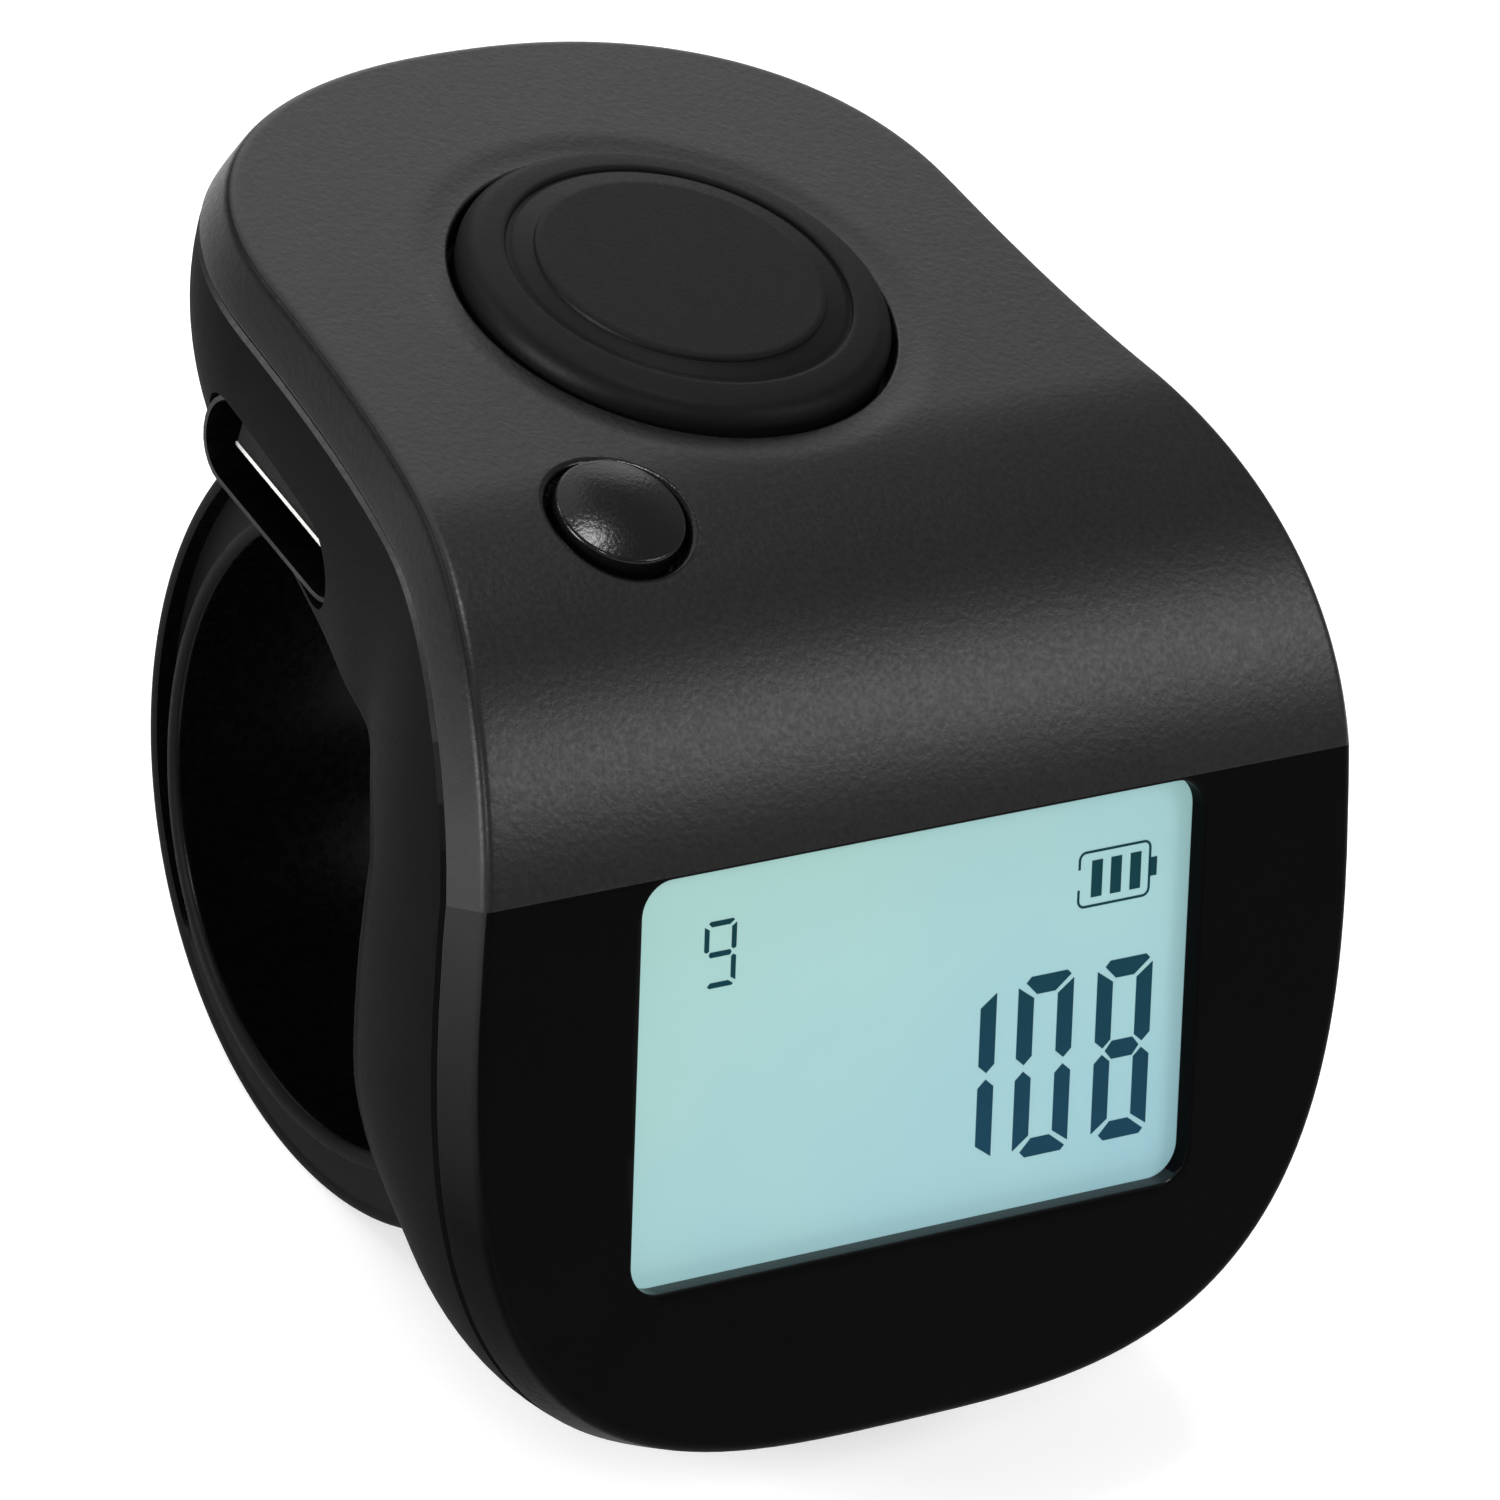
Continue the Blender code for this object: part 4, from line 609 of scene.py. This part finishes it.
def makeBand():
    shape = bmesh.new()
    half, bead, rail = band["halfWidth"], band["bead"], band["rail"]
    shallow, beadRound, railRound = band["shallow"], band["beadRound"], band["railRound"]

    def sectionAt(angle, thickness):
        # (mm from the finger side, x): a round bead, a groove and a thin outer rail, which fade out
        # near the bottom
        openness = ease(math.degrees(angle), band["grooveEnd"], band["grooveEnd"] + band["fade"])
        floor = half - shallow - (band["grooveDepth"] - shallow) * openness
        side = [(bead / 2 - bead / 2 * math.cos(a), half - beadRound + beadRound * math.sin(a))
                for a in [math.pi / 2 * i / 6 for i in range(7)]]
        side += [(bead * 0.75, half - 0.02), (bead * 0.92, half - 0.02 - 0.06 * openness - 0.02)]
        side += [(bead, floor), (thickness - rail - 0.04, floor)]
        shelf = half - band["railIn"]
        side += [(thickness - rail + 0.04, shelf - 0.04), (thickness - rail + 0.12, shelf)]
        side += [(thickness - railRound + railRound * math.sin(a),
                  shelf - railRound + railRound * math.cos(a))
                 for a in [math.pi / 2 * i / 5 for i in range(6)]]
        return side + [(down, -x) for down, x in reversed(side)]

    rings = []
    for step in range(band["steps"] + 1):
        angle = math.radians(band["topEnd"] + (band["frontEnd"] - band["topEnd"]) * step / band["steps"])
        inner = Vector((0.0, math.cos(angle), math.sin(angle))) * band["innerRadius"]
        outer = Vector((0.0, band["outerY"] + band["outerRadius"] * math.cos(angle),
                        band["outerZ"] + band["outerRadius"] * math.sin(angle)))
        thickness = (outer - inner).length
        rings.append([shape.verts.new(inner.lerp(outer, down / thickness) + Vector((x, 0.0, 0.0)))
                      for down, x in sectionAt(angle, thickness)])
    joinLoops(shape, rings)
    shape.faces.new(rings[0])
    shape.faces.new(rings[-1])
    bmesh.ops.recalc_face_normals(shape, faces=shape.faces[:])
    piece = makeObject("fingerBand", shape)

    # the band is cut by the hull's own form, grown by the gap between them
    room = bmesh.new()
    loops = [hullLoop(room, share, -band["gap"], 0.0, band["gap"], 2)
             for share in (0.0, 0.25, 0.5, 0.75, 1.0)]
    joinLoops(room, loops)
    capGrid(room, loops[0], halfOutline(-band["gap"], 2), lambda x, along: 0.0, 4)
    capGrid(room, loops[-1], halfOutline(lambda along: lipInset(along) - band["gap"], 2),
            lambda x, along: fingerDepth(along) + band["gap"], 4)
    bmesh.ops.recalc_face_normals(room, faces=room.faces[:])
    carve(piece, room)
    handOver(piece, "housing", bandLook, ["finger_band"])
    piece.data.materials.append(insideLook)
    for face in piece.data.polygons:
        inward = -Vector((0.0, face.center.y, face.center.z)).normalized()
        if face.normal.dot(inward) > band["insideFacing"]:
            face.material_index = 1


# keys

def makeKeys():
    k = countKey
    top, ring, height = k["radius"], k["ringHeight"], k["height"]
    plateau, crease, skirt, flange = k["plateauRadius"], k["creaseRadius"], k["skirt"], k["flange"]
    # a small step at the plateau's edge, a gentle slope, then a groove whose outer wall faces inwards
    profile = [(0.0, height), (plateau - 0.25, height)]
    profile += [(plateau - 0.05, height - 0.004), (plateau - 0.01, height - 0.03),
                (plateau + 0.005, height - 0.13), (plateau + 0.04, height - 0.15)]
    profile += [(crease - 0.18, ring + 0.015), (crease - 0.08, ring - 0.05), (crease, ring - 0.10),
                (crease + 0.07, ring - 0.10), (crease + 0.09, ring - 0.03), (crease + 0.14, ring - 0.005),
                (crease + 0.26, ring)]
    profile += arc(top - k["shoulder"], 0.0, k["shoulder"], 86, 0, 12)
    profile += [(top, -skirt), (top + flange, -skirt), (top + flange, -k["back"]),
                (top - k["lip"], -k["back"]), (top - k["lip"], ring - k["skin"]),
                (k["post"], ring - k["skin"]), (k["post"], -k["back"]), (0.0, -k["back"])]
    shape = turned(profile, 160)
    shape.transform(Matrix.Translation((0.0, k["y"], housing["topZ"])))
    handOver(makeObject("countKey", shape), "count_key", keyLook, ["count_button"], 50.0)

    k = resetKey
    r, h, rim, step = k["radius"], k["height"], k["rim"], k["domeStep"]
    profile = [(0.0, h)]
    profile += [(step * i, h - k["domeDrop"] * (step * i / (r - rim)) ** 2) for i in range(1, 31)]
    profile += arc(r - rim, h - k["rimDrop"], rim, 75, 0, 6)
    profile += [(r, -k["skirt"]), (r + k["flange"], -k["skirt"]), (r + k["flange"], -k["back"]),
                (k["post"], -k["back"]), (k["post"], -k["postEnd"]), (0.0, -k["postEnd"])]
    shape = turned(profile, 96)
    shape.transform(resetFrame)
    handOver(makeObject("resetKey", shape), "reset_key", resetLook, ["reset_button"], 50.0)


# display

display = {"depth": 0.7, "ink": 0.02, "inkGlow": 0.3, "filmGlow": 0.46}
battery = {"left": 5.92, "top": 2.02, "right": 8.46, "bottom": 3.68, "stroke": 0.075, "radius": 0.22,
           "breakTop": 2.52, "breakBottom": 3.14, "bars": (6.37, 7.06, 7.76), "barWidth": 0.38,
           "barTop": 2.30, "barBottom": 3.42}


def segmentOutlines(width, height, stroke, gap, corner):
    # outlines of seven bars in a box from the top left, y down
    half, mid = stroke / 2.0, height / 2.0
    g = gap / 2.0
    topBar = [(corner + g, 0.0), (width - corner * 0.4 - g, 0.0), (width - g, corner * 0.4),
              (width - stroke - g, stroke), (stroke + g, stroke), (corner * 0.5 + g, corner * 0.5)]
    upRight = [(width, corner * 0.5 + g), (width, mid - half - g * 0.6), (width - half, mid - g),
               (width - stroke, mid - half - g * 0.6), (width - stroke, stroke + g)]
    middle = [(half + g, mid), (stroke + g * 0.6, mid - half), (width - stroke - g * 0.6, mid - half),
              (width - half - g, mid), (width - stroke - g * 0.6, mid + half), (stroke + g * 0.6, mid + half)]

    def flip(points, overX, overY):
        return [(width - x if overX else x, height - y if overY else y) for x, y in points]
    return {"a": topBar, "b": upRight, "c": flip(upRight, False, True), "d": flip(topBar, False, True),
            "e": flip(upRight, True, True), "f": flip(upRight, True, False), "g": middle}


lit = {"0": "abcdef", "1": "bc", "8": "abcdefg", "9": "abcdfg"}


def inkPiece(name, outlines, look):
    # flat marks that stand a hair proud of the film, from (x, down) outlines
    shape = bmesh.new()
    for outline in outlines:
        closedPrism(shape, outline, -display["depth"] - display["ink"], -display["depth"] + display["ink"],
                    lambda p, level: (p[0], -p[1], level))
    shape.transform(frontFrame)
    handOver(makeObject(name, shape), "housing", look)


def frameOutlines(left, top, right, bottom, stroke, radius, breakTop, breakBottom):
    # rounded outline of the battery sign, open in the middle of its left side, as one closed ribbon
    path = [(left, breakTop)]
    corners = ((left + radius, top + radius, 180), (right - radius, top + radius, 270),
               (right - radius, bottom - radius, 0), (left + radius, bottom - radius, 90))
    for cx, cy, start in corners:
        for i in range(7):
            angle = math.radians(start + 90 * i / 6)
            path.append((cx + radius * math.cos(angle), cy + radius * math.sin(angle)))
    path.append((left, breakBottom))
    sides = ([], [])
    for i, point in enumerate(path):
        before, after = Vector(path[max(i - 1, 0)]), Vector(path[min(i + 1, len(path) - 1)])
        along = (after - before).normalized()
        normal = Vector((-along.y, along.x)) * stroke / 2.0
        sides[0].append(tuple(Vector(point) + normal))
        sides[1].append(tuple(Vector(point) - normal))
    return sides[0] + sides[1][::-1]


def makeDisplay():
    # crystal ink: dark teal above, bluer below, as the backlight tints it
    look, tree, shader = newMaterial("LCD segments twisted nematic dark")
    place = addNode(tree, "ShaderNodeTexCoord").outputs["Object"]
    split = addNode(tree, "ShaderNodeSeparateXYZ", Vector=place)
    fall = addNode(tree, "ShaderNodeMapRange", {"From Min": 0.0095, "From Max": 0.0005},
                   Value=split.outputs[2])
    cloud = addNode(tree, "ShaderNodeTexNoise", {"Scale": 1000.0 / 0.8, "Detail": 2.0}, Vector=place)
    mixed = addNode(tree, "ShaderNodeMath", {"operation": "MULTIPLY_ADD", 1: 0.5}, i0=cloud.outputs[0],
                    i2=fall.outputs[0])
    hue = addNode(tree, "ShaderNodeMapRange", {"From Min": 0.2, "From Max": 1.2}, Value=mixed.outputs[0])
    ink = addNode(tree, "ShaderNodeMix", {"data_type": "RGBA", 6: linear("#0b363a"), 7: linear("#143c4f")},
                  i0=hue.outputs[0]).outputs[2]
    tree.links.new(ink, shader.inputs["Base Color"])
    tree.links.new(ink, shader.inputs["Emission Color"])
    shader.inputs["Emission Strength"].default_value = display["inkGlow"]
    shader.inputs["Roughness"].default_value = 0.35
    shader.inputs["Specular IOR Level"].default_value = 0.06

    big = {"width": 1.98, "height": 5.55, "stroke": 0.56, "gap": 0.2, "top": 5.5, "left": (1.16, 3.92, 6.76)}
    bars = segmentOutlines(big["width"], big["height"], big["stroke"], big["gap"], 0.35)
    for figure, left, name in zip("108", big["left"], ("bigDigitOne", "bigDigitZero", "bigDigitEight")):
        inkPiece(name, [[(x + left, y + big["top"]) for x, y in bars[bar]] for bar in lit[figure]], look)
    small = {"width": 1.1, "height": 2.0, "stroke": 0.16, "gap": 0.16, "top": 1.86, "left": -7.24}
    bars = segmentOutlines(small["width"], small["height"], small["stroke"], small["gap"], 0.12)
    inkPiece("smallDigitNine", [[(x + small["left"], y + small["top"]) for x, y in bars[bar]]
                                for bar in lit["9"]], look)
    outlines = [frameOutlines(battery["left"], battery["top"], battery["right"], battery["bottom"],
                              battery["stroke"], battery["radius"], battery["breakTop"],
                              battery["breakBottom"])]
    top, bottom = battery["barTop"], battery["barBottom"]
    for left in battery["bars"]:
        right = left + battery["barWidth"]
        outlines.append([(left, top), (right, top), (right, bottom), (left, bottom)])
    outlines.append([(8.48, 2.55), (8.72, 2.55), (8.72, 3.12), (8.48, 3.12)])
    inkPiece("batterySign", outlines, look)

    # the lit film: pale cyan, greener at the top left and bluer at the lower right
    look, tree, shader = newMaterial("Polarising film satin backlit cyan")
    place = addNode(tree, "ShaderNodeTexCoord").outputs["Object"]
    drift = addNode(tree, "ShaderNodeVectorMath", {"operation": "DOT_PRODUCT", 1: (22.0, 0.0, -45.0)},
                    i0=place)
    cloud = addNode(tree, "ShaderNodeTexNoise", {"Scale": 1000.0 / 6.0, "Detail": 2.0}, Vector=place)
    mixed = addNode(tree, "ShaderNodeMath", {"operation": "MULTIPLY_ADD", 1: 0.5}, i0=cloud.outputs[0],
                    i2=drift.outputs["Value"])
    hue = addNode(tree, "ShaderNodeMapRange", {"From Min": -0.35, "From Max": 0.6}, Value=mixed.outputs[0])
    tint = addNode(tree, "ShaderNodeMix", {"data_type": "RGBA", 6: linear("#b2dcd6"), 7: linear("#a2cfdb")},
                   i0=hue.outputs[0]).outputs[2]
    haze = addNode(tree, "ShaderNodeTexNoise", {"Scale": 1000.0 / 0.15}, Vector=place)
    rough = addNode(tree, "ShaderNodeMapRange", {"To Min": 0.3, "To Max": 0.42}, Value=haze.outputs[0])
    unlit = addNode(tree, "ShaderNodeMix", {"data_type": "RGBA", 6: linear("#86a8a3"), 7: linear("#7a9ea8")},
                    i0=hue.outputs[0]).outputs[2]
    tree.links.new(unlit, shader.inputs["Base Color"])
    tree.links.new(tint, shader.inputs["Emission Color"])
    tree.links.new(rough.outputs[0], shader.inputs["Roughness"])
    shader.inputs["Emission Strength"].default_value = display["filmGlow"]
    shader.inputs["Specular IOR Level"].default_value = 0.2
    nodes["lcd_front_film"].material_slots[0].material = look


# parts kept as CAD: their own materials

def partLook(name, colours, patternMm, grainMm, grainHeight, roughness, stretch=(1.0, 1.0, 1.0), **sockets):
    # noise over the part for its colour, finer noise for gloss and relief; stretch draws it out along an axis
    look, tree, shader = newMaterial(name)
    place = addNode(tree, "ShaderNodeTexCoord").outputs["Object"]
    drawn = addNode(tree, "ShaderNodeVectorMath", {"operation": "MULTIPLY", 1: stretch}, i0=place).outputs[0]
    cloud = addNode(tree, "ShaderNodeTexNoise", {"Scale": 1000.0 / patternMm, "Detail": 4.0}, Vector=drawn)
    share = addNode(tree, "ShaderNodeMapRange", {"From Min": 0.3, "From Max": 0.7}, Value=cloud.outputs[0])
    tint = addNode(tree, "ShaderNodeMix", {"data_type": "RGBA", 6: linear(colours[0]), 7: linear(colours[1])},
                   i0=share.outputs[0]).outputs[2]
    grain = addNode(tree, "ShaderNodeTexNoise", {"Scale": 1000.0 / grainMm, "Detail": 2.0}, Vector=drawn)
    rough = addNode(tree, "ShaderNodeMapRange", {"From Min": 0.3, "From Max": 0.7, "To Min": roughness[0],
                                                 "To Max": roughness[1]}, Value=grain.outputs[0])
    bump = addNode(tree, "ShaderNodeBump", {"Strength": 1.0, "Distance": grainHeight * 0.001},
                   Height=grain.outputs[0])
    tree.links.new(tint, shader.inputs["Base Color"])
    tree.links.new(rough.outputs[0], shader.inputs["Roughness"])
    tree.links.new(bump.outputs[0], shader.inputs["Normal"])
    for socketName, value in sockets.items():
        shader.inputs[socketName.replace("_", " ")].default_value = value
    return look


def dressParts():
    steel = partLook("Steel rolled darkened as port shade", ("#1b1b1c", "#29292a"), 1.5, 0.2, 0.002,
                     (0.35, 0.5), (0.2, 1.0, 1.0), Metallic=1.0)  # painted shade: dark all over, standing in for the shade inside the port; drawn along the tube
    insulator = partLook("Nylon moulded glass filled black", ("#080808", "#0e0e0e"), 0.8, 0.08, 0.004,
                         (0.5, 0.65), Specular_IOR_Level=0.1)  # flat black, hides inside the port
    laminate = partLook("Glass epoxy board green solder mask", ("#0b3a1c", "#145229"), 2.2, 0.25, 0.006,
                        (0.3, 0.42), IOR=1.5)  # clouded green lacquer over the weave
    case = partLook("Nylon moulded switch housing grey", ("#393939", "#474745"), 1.2, 0.08, 0.004,
                    (0.5, 0.62), IOR=1.53)  # dull and a little chalky
    stem = partLook("Acetal moulded stem", ("#7c7c82", "#8e8e92"), 1.0, 0.07, 0.003, (0.38, 0.5),
                    IOR=1.48)  # waxy half gloss
    pouch = partLook("Aluminium laminate pouch cold formed", ("#a9aaad", "#c3c4c6"), 4.0, 0.7, 0.02,
                     (0.28, 0.42), Metallic=1.0)  # soft crinkled sheen
    foam = partLook("Polyurethane foam tape open cell", ("#cfcfc9", "#dedfda"), 0.5, 0.12, 0.03, (0.85, 0.95),
                    Specular_IOR_Level=0.3)  # matte and pitted
    red = partLook("PVC extruded sleeve red", ("#a91512", "#bf1f1a"), 1.0, 0.1, 0.002, (0.25, 0.35),
                   IOR=1.53)  # wet-looking sleeve
    black = partLook("PVC extruded sleeve black", ("#131313", "#1c1c1c"), 1.0, 0.1, 0.002, (0.25, 0.35),
                     IOR=1.53)  # the same gloss on black
    ribbon = partLook("Polyimide film laminated amber", ("#8f4d10", "#a85f18"), 0.5, 0.06, 0.002, (0.2, 0.3),
                      (6.0, 1.0, 1.0), IOR=1.7)  # amber with the streaks of its copper tracks
    glass = partLook("Glass float polished", ("#c6d8d2", "#d2e2dc"), 5.0, 0.5, 0.0005, (0.02, 0.06), IOR=1.52,
                     Transmission_Weight=0.85)  # faint green, clear
    panel = partLook("Acrylic light guide milky", ("#dfeaf0", "#eef6f8"), 3.0, 0.2, 0.003, (0.3, 0.4),
                     IOR=1.49, Transmission_Weight=0.3)  # milky and faintly blue
    resin = partLook("Silicone cast over phosphor yellow", ("#e3cf62", "#efdf86"), 0.6, 0.1, 0.002,
                     (0.15, 0.25), IOR=1.41)  # glossy yellow drop
    frameWhite = partLook("Polycarbonate moulded reflector white", ("#e2e2df", "#efefec"), 2.0, 0.1, 0.003,
                          (0.45, 0.55), IOR=1.58)  # bright and even
    rubber = partLook("Silicone elastomer zebra strip", ("#b9b0a3", "#3a3a3c"), 0.25, 0.05, 0.003, (0.6, 0.7),
                      (3.0, 0.1, 0.1), Specular_IOR_Level=0.3)  # thin dark layers across the strip
    epoxy = partLook("Epoxy cast glob black", ("#0c0c0d", "#171718"), 1.2, 0.3, 0.006, (0.25, 0.4),
                     IOR=1.55)  # dark blob with a soft shine
    ceramic = partLook("Ceramic fired capacitor tan", ("#a58a66", "#bda27c"), 0.3, 0.05, 0.002, (0.4, 0.5),
                       IOR=1.6)  # speckled tan
    zinc = partLook("Zinc plated steel screw", ("#b3b4b0", "#cbccc8"), 0.4, 0.05, 0.003, (0.25, 0.4),
                    Metallic=1.0)  # bright, faintly yellow-grey
    dressed = {
        steel: ["usb_shell"], insulator: ["usb_tongue"], laminate: ["key_board", "display_board"],
        case: ["count_switch_body", "reset_switch_body"], stem: ["count_switch_stem", "reset_switch_stem"],
        pouch: ["battery_cell"], foam: ["battery_tape"], red: ["battery_lead_red"],
        black: ["battery_lead_black"], ribbon: ["board_ribbon"], glass: ["lcd_glass"],
        panel: ["backlight_panel"], resin: ["backlight_led_1", "backlight_led_2"], frameWhite: ["lcd_frame"],
        rubber: ["contact_strip"], epoxy: ["controller_chip", "charger_chip"],
        ceramic: ["capacitor_%d" % i for i in range(1, 5)],
        zinc: (["key_board_screw_%d" % i for i in range(1, 4)]
               + ["display_board_screw_%d" % i for i in range(1, 5)]),
    }
    for look, names in dressed.items():
        for name in names:
            for place in nodes[name].material_slots:
                place.material = look
    print("dressed", sum(len(names) for names in dressed.values()), "CAD nodes")


tonguePlate = {"halfLength": 3.1, "halfThickness": 0.07, "corner": 0.06, "mouthSet": 0.04, "recess": 0.6,
               "below": 0.35, "proud": 0.06, "depth": 0.5}


def makeTonguePlate():
    # steel mid-plate that shows as a bright line along the lower front edge of the contact tongue
    shape = bmesh.new()
    plate = tonguePlate
    front, low = socket["mouthX"] - plate["mouthSet"] + plate["recess"], socket["z"] - plate["below"]
    outline = [(y + socket["y"], z) for y, z in
               roundedRectangle(plate["halfLength"], plate["halfThickness"], plate["corner"], 4)]
    closedPrism(shape, outline, front - plate["proud"], front + plate["depth"],
                lambda p, level: (level, p[0], low + p[1]))
    look = partLook("Steel stamped bright mid plate", ("#c9c9c6", "#dadad8"), 0.5, 0.05, 0.002, (0.2, 0.3),
                    (1.0, 0.2, 1.0), Metallic=1.0)  # a bright stamped edge
    handOver(makeObject("tonguePlate", shape), "housing", look)


# run

makeCover()
makeHull()
makeBand()
makeKeys()
makeDisplay()
dressParts()
makeTonguePlate()


# stage, light and camera

studio = {"floorSize": 3.0, "worldStrength": 0.32, "floorGlow": 0.4}

floorShape = bmesh.new()
bmesh.ops.create_grid(floorShape, x_segments=1, y_segments=1, size=studio["floorSize"] / 2)
floor = makeObject("floor", floorShape)
floor.location.z = cadLow.z
floorLook, tree, shader = newMaterial("Paper sweep matte white")
shader.inputs["Base Color"].default_value = linear("#f2f2f2")
shader.inputs["Roughness"].default_value = 0.9
paths = addNode(tree, "ShaderNodeLightPath")
seen = addNode(tree, "ShaderNodeMath", {"operation": "MAXIMUM"}, i0=paths.outputs["Is Camera Ray"],
               i1=paths.outputs["Is Glossy Ray"])
seen = addNode(tree, "ShaderNodeMath", {"operation": "MAXIMUM"}, i0=seen.outputs[0],
               i1=paths.outputs["Is Transmission Ray"])
glow = addNode(tree, "ShaderNodeEmission", {"Color": (1.0, 1.0, 1.0, 1.0)})
lift = addNode(tree, "ShaderNodeMath", {"operation": "MULTIPLY", 1: studio["floorGlow"]}, i0=seen.outputs[0])
tree.links.new(lift.outputs[0], glow.inputs["Strength"])
both = addNode(tree, "ShaderNodeAddShader", {}, i0=shader.outputs[0], i1=glow.outputs[0])
tree.links.new(both.outputs[0], tree.nodes["Material Output"].inputs["Surface"])
floor.data.materials.append(floorLook)

world = bpy.data.worlds.new("studio")
bpy.context.scene.world = world
world.use_nodes = True
sky = world.node_tree.nodes["Background"]
sky.inputs["Color"].default_value = (1.0, 1.0, 1.0, 1.0)
sky.inputs["Strength"].default_value = studio["worldStrength"]

# direction from the origin, distance and width in metres, power in watts
lamps = {
    "rearSoftbox": ((0.46, 0.80, 0.39), 0.25, 0.19, 0.1),
    "rearWing": ((0.0, 0.65, 0.76), 0.30, 0.24, 0.13),
    "leftRearCard": ((-0.57, 0.62, 0.53), 0.30, 0.07, 0.12),
    "frontSoftbox": ((0.55, -0.57, 0.62), 0.30, 0.13, 0.223),
    "leftCard": ((-1.0, 0.0, 0.24), 0.14, 0.06, 0.22),
    "cameraCard": ((-0.47, -0.60, 0.65), 0.30, 0.06, 0.14),
    "overheadLamp": ((0.13, 0.10, 0.985), 0.30, 0.055, 0.19),
}
for name, (direction, distance, width, power) in lamps.items():
    data = bpy.data.lights.new(name, "AREA")
    data.shape, data.size, data.energy = "DISK", width, power
    lamp = bpy.data.objects.new(name, data)
    away = Vector(direction).normalized()
    lamp.location = away * distance
    lamp.rotation_mode = "QUATERNION"
    lamp.rotation_quaternion = away.to_track_quat("Z", "Y")
    bpy.context.scene.collection.objects.link(lamp)

camera = {"place": (-0.178806, -0.200513, 0.194065), "right": (0.8184, -0.5201, 0.2443),
          "up": (0.1545, 0.6086, 0.7783), "back": (-0.5535, -0.5992, 0.5784), "lens": 267.28,
          "sensor": 36.0}
data = bpy.data.cameras.new("camera")
data.lens, data.sensor_width, data.sensor_fit = camera["lens"], camera["sensor"], "HORIZONTAL"
data.clip_start, data.clip_end = 0.01, 10.0
eye = bpy.data.objects.new("camera", data)
turn = Matrix((camera["right"], camera["up"], camera["back"])).transposed()
eye.matrix_world = Matrix.Translation(camera["place"]) @ turn.to_quaternion().to_matrix().to_4x4()
bpy.context.scene.collection.objects.link(eye)
bpy.context.scene.camera = eye
bpy.context.scene.view_settings.view_transform = "Standard"
print("stage, light and camera set")
